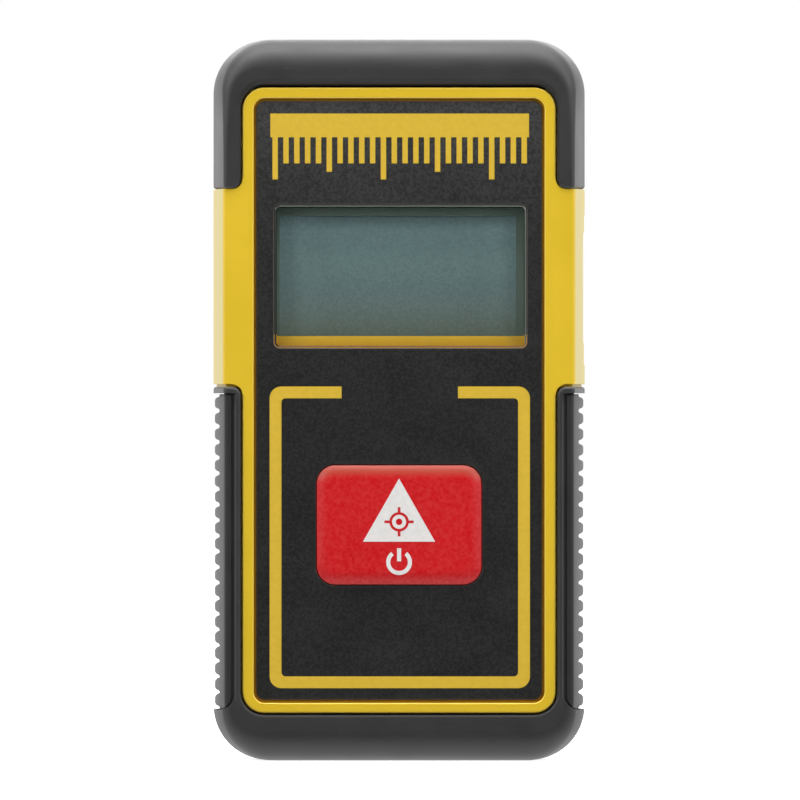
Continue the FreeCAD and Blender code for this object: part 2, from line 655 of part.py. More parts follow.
def usb_receptacle():
    """Stamped socket shell with its contact tongue, open to the right."""
    length, height = SOCKET_SIZE
    xs = (SOCKET_MOUTH_X - 5.0, SOCKET_MOUTH_X)
    ys = (SOCKET_Y - height / 2, SOCKET_Y + height / 2)
    zs = (SOCKET_Z - length / 2, SOCKET_Z + length / 2)
    shell = rounded_box(xs, ys, zs, 0.5, 0)
    wall = 0.25
    inside = box((xs[0] + wall, xs[1] + 1), (ys[0] + wall, ys[1] - wall), (zs[0] + wall, zs[1] - wall))
    tongue = box((xs[0] + 0.1, xs[1] - 0.8), (SOCKET_Y + 0.15, SOCKET_Y + 0.75),
                 (SOCKET_Z - 1.9, SOCKET_Z + 1.9))
    return shell.cut(inside).fuse(tongue).removeSplitter()


def usb_flap():
    slab = rounded_box((FLAP_INSIDE_X, WIDTH), FLAP_Y, FLAP_Z, 0.8, 0)
    flap = slab.common(crowned(-FACE, FACE, (0, LENGTH), FLAP_INSET))
    length, height = SOCKET_SIZE
    boss = rounded_box((SOCKET_MOUTH_X + 0.1, FLAP_INSIDE_X + 0.1),
                       (SOCKET_Y - height / 2 + 0.1, SOCKET_Y + height / 2 - 0.1),
                       (SOCKET_Z - length / 2 + 0.3, SOCKET_Z + length / 2 - 0.5), 0.5, 0)
    ribs_x = WIDTH / 2 - FLAP_INSET + 0.1
    notches = [rod((ribs_x, SOCKET_Y - 1.6, z), (0, 1, 0), 0.3, 3.2) for z in FLAP_RIBS_Z]
    return flap.fuse(boss).removeSplitter().cut(hinge_scoop()).cut(Part.makeCompound(notches))


def hinge_scoop():
    """Round groove about the flap's hinge line, which thins the rubber there."""
    return rod((HINGE_X, FLAP_Y[0] - 1, HINGE_Z), (0, 1, 0), HINGE_SCOOP_R, 10)


def usb_flap_anchor():
    block = rounded_box((18.3, WIDTH), ANCHOR_Y, ANCHOR_Z, 0.5, 0)
    block = block.common(crowned(-FACE, FACE, (0, LENGTH), FLAP_INSET))
    root_y, root_z = ANCHOR_ROOT
    root = rod((CAVITY[0] - 0.1, root_y, root_z), (1, 0, 0), 0.78, 1.3)
    barb = rod((CAVITY[0] - 0.6, root_y, root_z), (1, 0, 0), 1.15, 0.55)
    return block.multiFuse([root, barb]).cut(hinge_scoop())


def battery_cell():
    pouch = box((-11, 11), (0.6, 5.0), (11.5, 39.5))
    return pouch.makeFillet(1.4, along(pouch, 2))


def battery_protection_board():
    return box((-9, 9), (0.6, 1.4), (39.6, 42.4))


def battery_pad():
    return box((-9, 9), (5.0, REAR_INSIDE), (14, 37))


def battery_connector():
    body = box((-15.6, -11.4), (BOARD_BACK, 2.0), (44.5, 48.6))
    return body.makeFillet(0.3, in_plane(body, 1, 2.0))


def optics_frame():
    """Moulded carrier with the laser bore, the receiving funnel and two fixing ears."""
    low, high = OPTICS_Z
    block = rounded_box((-11.2, 11.2), (OPTICS_Y - 5.1, OPTICS_Y + 5.1), OPTICS_Z, 1.2, 2)
    ears = [rounded_box(xs, (BOARD_BACK + 0.05, BOARD_BACK + 1.55), (57.2, 65.0), 0.6, 1)
            for xs in ((-16.6, -10.6), (10.6, 16.6))]
    block = block.multiFuse(ears)
    funnel = Part.makeCone(1.5, 3.9, 10.4, Vector(RECEIVER_X, OPTICS_Y, low), Vector(0, 0, 1))
    seat = rod((RECEIVER_X, OPTICS_Y, low + 10.4), (0, 0, 1), LENS_R + 0.05, 4)
    bore = rod((LASER_X, OPTICS_Y, low - 1), (0, 0, 1), 3.0, high - low + 2)
    holes = [rod((x, -4, z), (0, 1, 0), 0.75, 6) for x, z in OPTICS_SCREWS]
    return block.cut(funnel.multiFuse([seat, bore] + holes))


def receiver_lens():
    return lens(RECEIVER_X, OPTICS_Y, OPTICS_Z[0] + 10.4, LENS_R, 1.5, 0, 0.85)


def lens_ring():
    base = OPTICS_Z[0] + 11.92
    ring = rod((RECEIVER_X, OPTICS_Y, base), (0, 0, 1), LENS_R, 0.8)
    return ring.cut(receiver_lens()).cut(rod((RECEIVER_X, OPTICS_Y, base - 1), (0, 0, 1), LENS_R - 0.6, 3))


def receiver_board():
    return box((2.9, 8.9), (BOARD_BACK + 0.05, 4.2), (60.3, 61.1))


def photodiode():
    x, y = RECEIVER_X, OPTICS_Y
    return box((x - 1.4, x + 1.4), (y - 1.2, y + 1.2), (61.1, 62.4))


def laser_barrel():
    tube = rod((LASER_X, OPTICS_Y, 63.4), (0, 0, 1), 2.95, 11.6)
    return tube.cut(rod((LASER_X, OPTICS_Y, 63), (0, 0, 1), 2.3, 13))


def laser_diode():
    x, y = LASER_X, OPTICS_Y
    can = rod((x, y, 64.0), (0, 0, 1), 2.25, 0.9).fuse(rod((x, y, 64.5), (0, 0, 1), 1.7, 2.9))
    pins = [rod((x + dx, y + dy, 60.4), (0, 0, 1), 0.22, 3.8) for dx, dy in ((-1, 0), (1, 0), (0, 1))]
    return can.multiFuse(pins)


def collimator_lens():
    return lens(LASER_X, OPTICS_Y, 72.4, 2.25, 1.0, 0.3, 0.5)


def lens_bezel():
    body = stadium(BEZEL_X, BEZEL_HALF, (76.0, BEZEL_TOP))
    body = body.makeFillet(0.3, in_plane(body, 2, BEZEL_TOP))
    flange = stadium((BEZEL_X[0] - 0.7, BEZEL_X[1] + 0.7), BEZEL_HALF + 0.7, (75.75, 76.55))
    body = body.fuse(flange)
    cuts = []
    for x, sight, pane in ((LASER_X, 1.7, 2.25), (RECEIVER_X, 3.9, 4.45)):
        cuts.append(rod((x, OPTICS_Y, 70), (0, 0, 1), sight, 12))
        cuts.append(rod((x, OPTICS_Y, 78.6), (0, 0, 1), pane, 3))
    return body.cut(cuts[0].multiFuse(cuts[1:])).removeSplitter()


def optics_window(x, radius):
    disc = rod((x, OPTICS_Y, 78.6), (0, 0, 1), radius, 0.9)
    return disc.makeChamfer(0.12, in_plane(disc, 2, 79.5))


def shell_screws():
    return Part.makeCompound([screw(x, z, 6.3, 1.75, 1.1, 0.8, 10.8, 1) for x, z in SHELL_SCREWS])


def board_screws():
    return Part.makeCompound([screw(x, z, BOARD_BACK, 1.5, 0.9, 0.7, 3.7, 1) for x, z in STANDOFFS])


def optics_screws():
    return Part.makeCompound([screw(x, z, BOARD_FRONT, 1.3, 0.8, 0.7, 2.4, -1) for x, z in OPTICS_SCREWS])


def build():
    lower = lower_form()
    upper = lower.mirror(Vector(0, 0, LENGTH / 2), Vector(0, 0, 1))
    return {
        "front_housing": front_housing(),
        "rear_housing": rear_housing(),
        "top_bumper": top_bumper(upper),
        "bottom_bumper": bottom_bumper(lower),
        "left_grip": grip(-1),
        "right_grip": grip(1),
        "faceplate_overlay": faceplate_overlay(),
        "rear_label": rear_label(),
        "display_window": display_window(),
        "display_gasket": display_gasket(),
        "lcd_panel": lcd_panel(),
        "lcd_reflector": lcd_reflector(),
        "lcd_holder": lcd_holder(),
        "lcd_connector_strip": lcd_connector_strip(),
        "measure_button": measure_button(),
        "switch_body": switch_body(),
        "switch_plunger": switch_plunger(),
        "main_board": main_board(),
        "microcontroller": chip((-9.5, -2.5), (49.0, 56.0), 1.0),
        "laser_driver_chip": chip((-8.0, -4.5), (57.0, 59.5), 0.8),
        "charge_chip": chip((5.0, 8.2), (44.0, 47.2), 0.8),
        "clock_crystal": chip((-6.5, -3.3), (45.2, 47.7), 0.7),
        "board_capacitors": small_parts([(x, 43.4) for x in (-8, -5, -2, 1)], (1.2, 0.8, 2.0)),
        "board_resistors": small_parts([(x, 47.6) for x in (-1, 0.4)] + [(12.2, 53.0)], (0.8, 0.5, 1.6)),
        "receiver_shield": receiver_shield(),
        "usb_receptacle": usb_receptacle(),
        "usb_flap": usb_flap(),
        "usb_flap_anchor": usb_flap_anchor(),
        "battery_cell": battery_cell(),
        "battery_protection_board": battery_protection_board(),
        "battery_pad": battery_pad(),
        "battery_connector": battery_connector(),
        "battery_lead_positive": lead([(-9, 1, 41.6), (-13.0, 1, 41.6), (-13.0, 1, 44.5)], 0.4, 1.2),
        "battery_lead_negative": lead([(-9, 1, 40.4), (-14.4, 1, 40.4), (-14.4, 1, 44.5)], 0.4, 1.2),
        "optics_frame": optics_frame(),
        "receiver_lens": receiver_lens(),
        "lens_ring": lens_ring(),
        "receiver_board": receiver_board(),
        "photodiode": photodiode(),
        "laser_barrel": laser_barrel(),
        "laser_diode": laser_diode(),
        "collimator_lens": collimator_lens(),
        "lens_bezel": lens_bezel(),
        "laser_window": optics_window(LASER_X, 2.2),
        "receiver_window": optics_window(RECEIVER_X, 4.4),
        "shell_screws": shell_screws(),
        "board_screws": board_screws(),
        "optics_screws": optics_screws(),
    }


os.makedirs("parts", exist_ok=True)
for name, shape in build().items():
    shape.exportStep(f"parts/{name}.step")
    solids = len(shape.Solids)
    print(f"{name}: valid {shape.isValid()}, solids {solids}, volume {shape.Volume:.1f} mm3")
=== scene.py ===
"""Looks, printed graphics, studio and camera of a pocket laser distance meter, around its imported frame."""
import math

import bmesh
import bpy
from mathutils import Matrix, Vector


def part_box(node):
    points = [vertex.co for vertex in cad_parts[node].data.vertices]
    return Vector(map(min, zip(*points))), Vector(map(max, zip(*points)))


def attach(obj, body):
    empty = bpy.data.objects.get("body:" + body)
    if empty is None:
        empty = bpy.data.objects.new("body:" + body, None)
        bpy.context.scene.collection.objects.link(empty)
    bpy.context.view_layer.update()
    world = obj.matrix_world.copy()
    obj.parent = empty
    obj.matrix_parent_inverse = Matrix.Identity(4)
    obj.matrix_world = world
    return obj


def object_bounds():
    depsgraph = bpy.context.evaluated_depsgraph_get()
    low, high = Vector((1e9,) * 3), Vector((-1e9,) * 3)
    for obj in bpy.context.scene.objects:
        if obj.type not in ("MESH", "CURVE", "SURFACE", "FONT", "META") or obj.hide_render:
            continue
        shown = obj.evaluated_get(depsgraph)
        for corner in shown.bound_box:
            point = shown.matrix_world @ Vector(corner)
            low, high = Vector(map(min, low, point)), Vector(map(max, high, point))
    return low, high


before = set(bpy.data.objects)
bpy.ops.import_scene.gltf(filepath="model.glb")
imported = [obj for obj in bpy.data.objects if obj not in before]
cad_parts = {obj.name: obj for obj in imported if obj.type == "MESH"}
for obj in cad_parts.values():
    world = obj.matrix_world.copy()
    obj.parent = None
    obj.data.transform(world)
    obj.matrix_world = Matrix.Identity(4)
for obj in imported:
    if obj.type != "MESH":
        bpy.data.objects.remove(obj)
cad_low, cad_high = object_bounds()

MM = 0.001
CENTRE = (cad_low + cad_high) / 2
overlay_low, overlay_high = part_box("faceplate_overlay")
window_low, window_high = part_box("display_window")
recess_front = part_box("front_housing")[0].y     # face of the yellow ring round the overlay
RECESS_HALF = overlay_high.x + 0.3 * MM
RING_MARGIN = 1.47 * MM         # from the overlay's sides to the outside of the yellow ring
RING_RADIUS = 2.4 * MM
ring_half_x = overlay_high.x + RING_MARGIN
ring_low = overlay_low.z - RING_MARGIN
ring_high = overlay_high.z + RING_MARGIN

# Where the yellow shell's painted light and shade change: depths behind the ring's face, and heights above
# the window's foot
RECESS_END = (-0.2 * MM, 0.0)   # the recess ends between these places along Y
RING_HIGHLIGHT_DEPTHS = (0.2 * MM, 0.4 * MM)       # the painted highlight on the ring's edge ends
GAP_SHADE_DEPTHS = (0.05 * MM, 0.45 * MM)     # painted shade: the gap round the overlay turns brown
WALL_DEPTHS = (0.7 * MM, 0.9 * MM)      # the painted shade of the ledge and walls behind the window begins
LEDGE_RISE = 1.2 * MM           # sloping ledge behind the window: its painted shade lightens up this height
LEDGE_TOP = (1.3 * MM, 1.5 * MM)
SOFT_STEP = 0.05 * MM

# Where the rubber's painted light and shade lie: heights, and distances beyond the yellow ring
SHEEN_LOW = ring_low            # the sides' painted sheen lies between these heights
SHEEN_HIGH = ring_high + 1 * MM
SHEEN_FADE = 5 * MM
RAIL_LOW, RAIL_HIGH = (corner.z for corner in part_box("left_grip"))
RAIL_FADE = 2 * MM
RAIL_HIGHLIGHT = 0.82 * MM           # painted highlight along the rail's edge
RAIL_HIGHLIGHT_WIDTHS = (0.05 * MM, 0.17 * MM)
GRIP_TURN = (2.1 * MM, 2.3 * MM)        # where the grip turns to the side
FRONT_PLACES = (-6 * MM, -5 * MM)       # what counts as the front ends between these places along Y
SEAM_SHADE_START = 0.18 * MM          # the painted shade in the seam is full up to here
SEAM_SHADE_REACH = 0.4 * MM
HIGH_SEAM_SHADE_REACHES = (           # the painted shade reaches further out above these heights
    (0.55 * MM, CENTRE.z),
    (0.95 * MM, ring_high - RING_RADIUS),
)

# Printed graphics
INK_THICKNESS = 0.02 * MM
INK_OVERLAP = 0.005 * MM        # how far the ink reaches into the surface below it
SCALE_MARGINS = (1.60 * MM, 1.47 * MM)  # from the overlay's left and right side
SCALE_TOP_MARGIN = 1.4 * MM     # from the overlay's upper edge
SCALE_HEIGHT = 7.3 * MM
SCALE_BAND = 0.36               # share of the height that is solid
SCALE_PITCH = 1.2 * MM
SCALE_TICK = 0.6 * MM
SCALE_TICKS = (1.0,) + 4 * (0.62,) + (0.82,) + 4 * (0.62,)     # shares of the height left below the band
FRAME_MARGINS = (1.52 * MM, 1.37 * MM)
FRAME_LOW_MARGIN = 1.33 * MM
FRAME_BELOW_WINDOW = 4.35 * MM
FRAME_LINE = 1.31 * MM
FRAME_RADIUS = 1.3 * MM
FRAME_INNER_RADIUS = 0.455 * MM
FRAME_OPENING = 6.45 * MM       # half of the gap in its upper line

# Display and rim of the window
DISPLAY_LIT_SIDES = (8.5 * MM, 12.5 * MM)   # painted light: it gets brighter between these distances from its middle
RIM_WIDTH = 0.17 * MM
RIM_RADIUS = 0.6 * MM
RIM_FOOT = (0.3 * MM, 0.5 * MM)         # up to here it takes the colour of the ledge behind it
RIM_SIDE = (0.3 * MM, 0.6 * MM)         # painted shade: up to here from the left it is dark
RIM_PROFILE = (                 # inset, and rise above the pane's face
    (0, -0.05 * MM),
    (0, 0.02 * MM),
    (RIM_WIDTH, 0.09 * MM),
    (RIM_WIDTH, -0.05 * MM),
)

# Button graphics, from the button's centre
CUSHION_RADIUS = 2.14 * MM      # rounding of the button's edge, as far in from its outline as
CUSHION_WIDTH = 1.43 * MM
BUTTON_FLANGE = 1.1 * MM        # hidden flange round the button's cap
TRIANGLE_BASE = -1.85 * MM
TRIANGLE_APEX = 5.15 * MM
TRIANGLE_HALF = 4.0 * MM
TARGET_UP = 0.35 * MM
TARGET_DOT = 0.36 * MM
TARGET_RING = (0.78 * MM, 1.08 * MM)
TARGET_TICK = 1.62 * MM         # outer end of its ticks
TARGET_LINE = 0.3 * MM
POWER_UP = -4.12 * MM
POWER_RADIUS = 1.2 * MM
POWER_LINE = 0.46 * MM
POWER_BAR_FOOT = 0.1 * MM       # from the sign's centre
POWER_BAR_RISE = 0.12 * MM      # past the ring
POWER_OPENING = math.radians(38)
DOME_PITCH = 0.8 * MM

# Rear label print
LABEL_MARGIN = 1.2 * MM
LABEL_LINE = 0.25 * MM
LABEL_FIELDS = 4

# Light and camera
CAMERA_LENS = 800.0
SENSOR = 36.0
VIEW_HEIGHT = 89.02 * MM
VIEW_SHIFT_X = 0.10 * MM
WORLD_LEVEL = 0.75              # brightness of the surroundings at the sides
WORLD_BELOW = 2.4               # times as bright from below
TABLE_LEVEL = 0.75              # brightness of the surroundings low in front
WORLD_BEHIND = 1.2              # times as bright from behind
WORLD_AHEAD = 0.01              # brightness of the surroundings ahead
AHEAD_COSINES = (0.26, 0.68)    # the surroundings turn dark between these angles to straight ahead
TABLE_COSINES = (0.42, 0.75)    # and light again between these angles to straight down
SIDE_COSINES = (0.1, 0.9)
FLOOR_RADIUS = 6.0
FLOOR_GAP = 0.03 * MM           # below the object
LAMPS = (                       # name, place, size and power
    ("key_left", (-0.48, -0.32, 0.30), (0.35, 0.35), 1.93),
    ("key_right", (0.48, -0.32, 0.30), (0.35, 0.35), 1.93),
    ("top", (0.0, -0.08, 0.55), (0.6, 0.3), 4.8),
    ("back", (0.0, 0.5, 0.35), (0.5, 0.35), 1.0),
)

# Colours, as linear red, green, blue and alpha
YELLOW = (0.74, 0.50, 0.022, 1)
# painted sheen of the yellow where it is seen at a slant
SHEEN_YELLOW = (0.587, 0.524, 0.255, 1)
# painted highlight on the edges of the yellow ring
RING_EDGE_HIGHLIGHT = (0.84, 0.60, 0.085, 1)
# painted shade in the gap round the overlay
GAP_SHADE_BROWN = (0.50, 0.26, 0.006, 1)
# painted shade on the ledge behind the window, and on the walls above it
LEDGE_FOOT_SHADE = (0.52, 0.25, 0.010, 1)
LEDGE_TOP_SHADE = (0.70, 0.42, 0.030, 1)
WALL_SHADE = (0.055, 0.068, 0.055, 1)
RED = (0.58, 0.004, 0.008, 1)
BUTTON_BLOTCH = (0.62, 0.026, 0.028, 1)
# painted shade on the button's cushioned edge
BUTTON_EDGE_SHADE = (0.24, 0.030, 0.026, 1)
BUTTON_UPPER_EDGE_SHADE = (0.40, 0.048, 0.028, 1)
# painted highlight on the film's edges
FILM_EDGE_HIGHLIGHT = (0.10, 0.075, 0.062, 1)
# painted highlight of the pane's rim, the ledge's colour at its foot, and painted shade on its left
PANE_EDGE_HIGHLIGHT = (0.135, 0.155, 0.135, 1)
PANE_FOOT = (0.30, 0.19, 0.065, 1)
PANE_SIDE_SHADE = (0.035, 0.042, 0.036, 1)
DISPLAY_LIGHT_AND_SHADE_TONES = (               # painted light and shade, from the display's foot, 0, to its top, 1
    (0.12, (0.188, 0.232, 0.210, 1)),
    (0.44, (0.186, 0.263, 0.278, 1)),
    (0.62, (0.208, 0.304, 0.312, 1)),
    (0.82, (0.237, 0.340, 0.372, 1)),
    (0.92, (0.178, 0.255, 0.279, 1)),
)


class Surface:
    """A material's node tree, with short calls for the nodes that the finishes share."""

    def __init__(self, name):
        self.material = bpy.data.materials.new(name)
        self.material.use_nodes = True
        self.tree = self.material.node_tree
        self.shader = self.tree.nodes["Principled BSDF"]
        self.place = self.add("ShaderNodeTexCoord").outputs["Object"]

    def add(self, kind, **settings):
        node = self.tree.nodes.new(kind)
        for key, value in settings.items():
            setattr(node, key, value)
        return node

    def feed(self, socket, value):
        """Link an output to an input, or set the input's own value."""
        if isinstance(value, bpy.types.NodeSocket):
            self.tree.links.new(value, socket)
        else:
            socket.default_value = value

    def shade(self, **values):
        """Set or link the shader's inputs, named with _ in place of spaces."""
        for name, value in values.items():
            self.feed(self.shader.inputs[name.replace("_", " ")], value)
        return self

    def stretched(self, stretch):
        """The place on the object, scaled along each axis."""
        node = self.add("ShaderNodeMapping")
        self.feed(node.inputs["Vector"], self.place)
        node.inputs["Scale"].default_value = stretch
        return node.outputs["Vector"]

    def noise(self, size, detail=2.0, stretch=None):
        """Soft noise with blotches of about this size in metres."""
        node = self.add("ShaderNodeTexNoise")
        self.feed(node.inputs["Vector"], self.stretched(stretch) if stretch else self.place)
        node.inputs["Scale"].default_value = 1 / size
        node.inputs["Detail"].default_value = detail
        return node.outputs["Fac"]

    def cells(self, size, feature="F1"):
        """Distance from the nearest of scattered points, in cells of about this size in metres."""
        node = self.add("ShaderNodeTexVoronoi", feature=feature)
        self.feed(node.inputs["Vector"], self.place)
        node.inputs["Scale"].default_value = 1 / size
        return node.outputs["Distance"]

    def ramp(self, factor, start, end, low=0.3, high=0.7):
        """Map a factor to a number between start and end."""
        node = self.add("ShaderNodeMapRange")
        self.feed(node.inputs["Value"], factor)
        node.inputs["From Min"].default_value = low
        node.inputs["From Max"].default_value = high
        node.inputs["To Min"].default_value = start
        node.inputs["To Max"].default_value = end
        return node.outputs["Result"]

    def blend(self, factor, first, second):
        """The first colour at factor 0, the second at 1, a mix between."""
        node = self.add("ShaderNodeMix", data_type="RGBA")
        colours = [socket for socket in node.inputs if socket.type == "RGBA"]
        self.feed(node.inputs["Factor"], factor)
        self.feed(colours[0], first)
        self.feed(colours[1], second)
        return next(socket for socket in node.outputs if socket.type == "RGBA")

    def scaled(self, colour, factor):
        """A colour, made brighter or darker by a factor."""
        node = self.add("ShaderNodeVectorMath", operation="SCALE")
        self.feed(node.inputs[0], colour)
        self.feed(node.inputs["Scale"], factor)
        return node.outputs["Vector"]

    def along(self, axis, place=0.0):
        """How far the shaded point lies beyond a place along one axis, in metres."""
        node = self.add("ShaderNodeSeparateXYZ")
        self.feed(node.inputs[0], self.place)
        return self.maths("SUBTRACT", node.outputs[axis], place, False)

    def graded(self, factor, stops):
        """Colour that runs through the given stops, each a share from 0 to 1 and a colour."""
        node = self.add("ShaderNodeValToRGB")
        self.feed(node.inputs[0], factor)
        elements = node.color_ramp.elements
        for _ in stops[2:]:
            elements.new(0.5)
        for element, (share, _) in zip(elements, stops):
            element.position = share
        for element, (_, colour) in zip(elements, stops):
            element.color = colour
        return node.outputs["Color"]

    def maths(self, operation, first, second, clamp=True):
        """Result of one operation, kept between 0 and 1 where clamp is true."""
        node = self.add("ShaderNodeMath", operation=operation, use_clamp=clamp)
        self.feed(node.inputs[0], first)
        self.feed(node.inputs[1], second)
        return node.outputs[0]

    def product(self, first, *others):
        """Product of several values from 0 to 1."""
        for other in others:
            first = self.maths("MULTIPLY", first, other)
        return first

    def off(self, value, place=0.0):
        """Distance of a value from a place, on either side of it."""
        return self.maths("ABSOLUTE", self.maths("SUBTRACT", value, place, False), 0, False)

    def band(self, value, low, high, fade):
        """1 where a value lies between low and high, fading to 0 inside both ends."""
        rise = self.ramp(value, 0, 1, low, low + fade)
        fall = self.ramp(value, 1, 0, high - fade, high)
        return self.product(rise, fall)

    def facing(self):
        """0 where the surface is seen straight on, 1 where it is seen edge on."""
        return self.add("ShaderNodeLayerWeight").outputs["Facing"]

    def rounded(self, radius):
        """Normal with its sharp edges rounded off."""
        node = self.add("ShaderNodeBevel", samples=4)
        node.inputs["Radius"].default_value = radius
        return node.outputs["Normal"]

    def edges(self, soft_normal):
        """1 along sharp edges, where a rounded normal leaves the true one, and 0 elsewhere."""
        flat = self.add("ShaderNodeNewGeometry").outputs["Normal"]
        node = self.add("ShaderNodeVectorMath", operation="DOT_PRODUCT")
        self.feed(node.inputs[0], flat)
        self.feed(node.inputs[1], soft_normal)
        return self.ramp(node.outputs["Value"], 1.0, 0.0, 0.80, 0.99)

    def slope(self, axis, start, end):
        """0 up to where the normal's share along an axis is start, rising to 1 at end."""
        node = self.add("ShaderNodeSeparateXYZ")
        self.feed(node.inputs[0], self.add("ShaderNodeNewGeometry").outputs["Normal"])
        return self.ramp(node.outputs[axis], 0, 1, start, end)

    def beside_ring(self):
        """Distance beyond the outline of the yellow ring, seen from the front."""
        reach = self.add("ShaderNodeCombineXYZ")
        halves = (ring_half_x, (ring_high - ring_low) / 2)
        for slot, axis, middle, half in zip((0, 1), "XZ", (0.0, (ring_low + ring_high) / 2), halves):
            aside = self.off(self.along(axis), middle)
            over = self.maths("SUBTRACT", aside, half - RING_RADIUS, False)
            self.feed(reach.inputs[slot], self.maths("MAXIMUM", over, 0.0, False))
        length = self.add("ShaderNodeVectorMath", operation="LENGTH")
        self.feed(length.inputs[0], reach.outputs[0])
        return self.maths("SUBTRACT", length.outputs["Value"], RING_RADIUS, False)

    def base(self):
        """The colour that the finish has so far."""
        return self.shader.inputs["Base Color"].links[0].from_socket

    def bump(self, height, distance, normal=None):
        """Normal tilted by a height that spans this distance in metres."""
        node = self.add("ShaderNodeBump")
        self.feed(node.inputs["Height"], height)
        node.inputs["Distance"].default_value = distance
        if normal is not None:
            self.feed(node.inputs["Normal"], normal)
        return node.outputs["Normal"]


def grey(value):
    return (value, value, value, 1.0)


def tint(colour, factor):
    """A colour, made brighter or darker by a factor."""
    return tuple(min(1.0, c * factor) for c in colour[:3]) + (1.0,)


def moulded(name, colour, roughness, grain=0.16 * MM, depth=0.006 * MM, edge=0.06 * MM, wear=0.25,
            specular=0.5):
    """Moulded plastic: spark-eroded grain, cloudy tone, and edges rubbed a little paler."""
    surface = Surface(name)
    soft = surface.rounded(edge)
    clouds = surface.noise(5 * MM, 3)
    tone = surface.blend(surface.ramp(clouds, 0, 1), tint(colour, 0.965), tint(colour, 1.03))
    patchy = surface.ramp(surface.noise(1.5 * MM), 0.2 * wear, wear)
    paler_edges = surface.product(surface.edges(soft), patchy)
    pale = tuple(c + (1 - c) * 0.35 for c in colour[:3]) + (1.0,)
    texture = surface.noise(grain, 1.5)
    rough = surface.ramp(clouds, roughness - 0.03, roughness + 0.03)
    surface.shade(Base_Color=surface.blend(paler_edges, tone, pale), Roughness=rough, IOR=1.5,
                  Specular_IOR_Level=specular, Normal=surface.bump(texture, depth, soft))
    return surface


def shell_plastic(name, colour):
    """Yellow moulded plastic, with painted light and shade: a painted sheen, paler where it is seen at a
    slant, a painted highlight on the ring's front edges, and painted shade, browner, deep in the front
    recess and behind the window.
    """
    surface = moulded(name, colour, 0.42, edge=0.1 * MM, wear=0.3)
    # painted sheen: the yellow is painted paler where the surface is seen at a slant
    facing = surface.facing()
    sheen = surface.product(surface.ramp(facing, 0, 0.8, 0.30, 0.78),
                            surface.ramp(facing, 1.0, 0.6, 0.84, 0.94))
    tone = surface.blend(sheen, surface.base(), SHEEN_YELLOW)

    aside = surface.off(surface.along("X"))
    depth = surface.along("Y", recess_front)
    # painted highlight along the front edges of the yellow ring
    rim = surface.product(surface.slope("Y", -0.985, -0.8),
                          surface.ramp(aside, 1, 0, ring_half_x, ring_half_x + SOFT_STEP),
                          surface.ramp(depth, 1, 0, *RING_HIGHLIGHT_DEPTHS))
    tone = surface.blend(rim, tone, RING_EDGE_HIGHLIGHT)

    # painted shade: the gap round the overlay is painted brown
    inside = surface.product(surface.ramp(aside, 1, 0, RECESS_HALF, RECESS_HALF + SOFT_STEP),
                             surface.ramp(surface.along("Y"), 1, 0, *RECESS_END))
    gap = surface.product(inside, surface.ramp(depth, 0, 1, *GAP_SHADE_DEPTHS))
    tone = surface.blend(gap, tone, GAP_SHADE_BROWN)

    # painted shade behind the window: the ledge darker towards its foot, and the walls above it dark
    up = surface.along("Z", window_low.z)
    ledge = surface.blend(surface.ramp(up, 0, 1, 0, LEDGE_RISE), LEDGE_FOOT_SHADE, LEDGE_TOP_SHADE)
    ledge = surface.blend(surface.ramp(up, 0, 1, *LEDGE_TOP), ledge, WALL_SHADE)
    deep = surface.product(inside, surface.ramp(depth, 0, 1, *WALL_DEPTHS))
    return surface.shade(Base_Color=surface.blend(deep, tone, ledge),
                         Specular_IOR_Level=surface.ramp(deep, 0.5, 0.1, 0, 1))


def button_plastic(name, colour):
    """Red moulded plastic: a mottled face, and painted shade on its cushioned edge, duller where it faces up
    and darker all round.
    """
    surface = moulded(name, colour, 0.42, 0.2 * MM, 0.006 * MM)
    blotch = surface.ramp(surface.noise(0.36 * MM, 3), 0, 1, 0.34, 0.66)
    tone = surface.blend(blotch, surface.base(), BUTTON_BLOTCH)
    # painted shade on the cushioned edge: duller where it faces up, darker where it turns from the front
    tone = surface.blend(surface.slope("Z", 0.05, 0.35), tone, BUTTON_UPPER_EDGE_SHADE)
    return surface.shade(Base_Color=surface.blend(surface.slope("Y", -0.85, -0.25), tone, BUTTON_EDGE_SHADE),
                         Specular_IOR_Level=0.3)


def rubber(name, colour, roughness=0.55, sheen=0.06):
    """Satin elastomer: fine grain, a faint bloom of dust in the open, a painted highlight along sharp edges,
    and a painted sheen, pale, where the sides are seen at a slant."""
    surface = Surface(name)
    soft = surface.rounded(0.08 * MM)
    clouds = surface.noise(4 * MM, 4)
    tone = surface.blend(surface.ramp(clouds, 0, 1), tint(colour, 0.9), tint(colour, 1.1))
    dust = surface.ramp(surface.noise(0.35 * MM, 4), 0, 0.12, 0.62, 0.8)
    tone = surface.blend(dust, tone, grey(0.16))
    # painted highlight: paler along sharp edges
    paler_edges = surface.product(surface.edges(soft), surface.ramp(surface.noise(1.5 * MM), 0.3, 0.8))
    tone = surface.blend(paler_edges, tone, grey(0.07))
    # painted sheen: paler grey on the sides where they are seen at a slant
    facing = surface.facing()
    slant = surface.product(surface.ramp(facing, 0, 1, 0.62, 0.76), surface.ramp(facing, 1, 0, 0.82, 0.95),
                            surface.band(surface.along("Z"), SHEEN_LOW, SHEEN_HIGH, SHEEN_FADE))
    surface.shade(Base_Color=surface.blend(slant, tone, grey(sheen)), IOR=1.5,
                  Roughness=surface.ramp(clouds, roughness - 0.05, roughness + 0.04),
                  Sheen_Weight=0.12, Sheen_Roughness=0.4,
                  Normal=surface.bump(surface.noise(0.12 * MM, 2), 0.006 * MM, soft))
    return surface


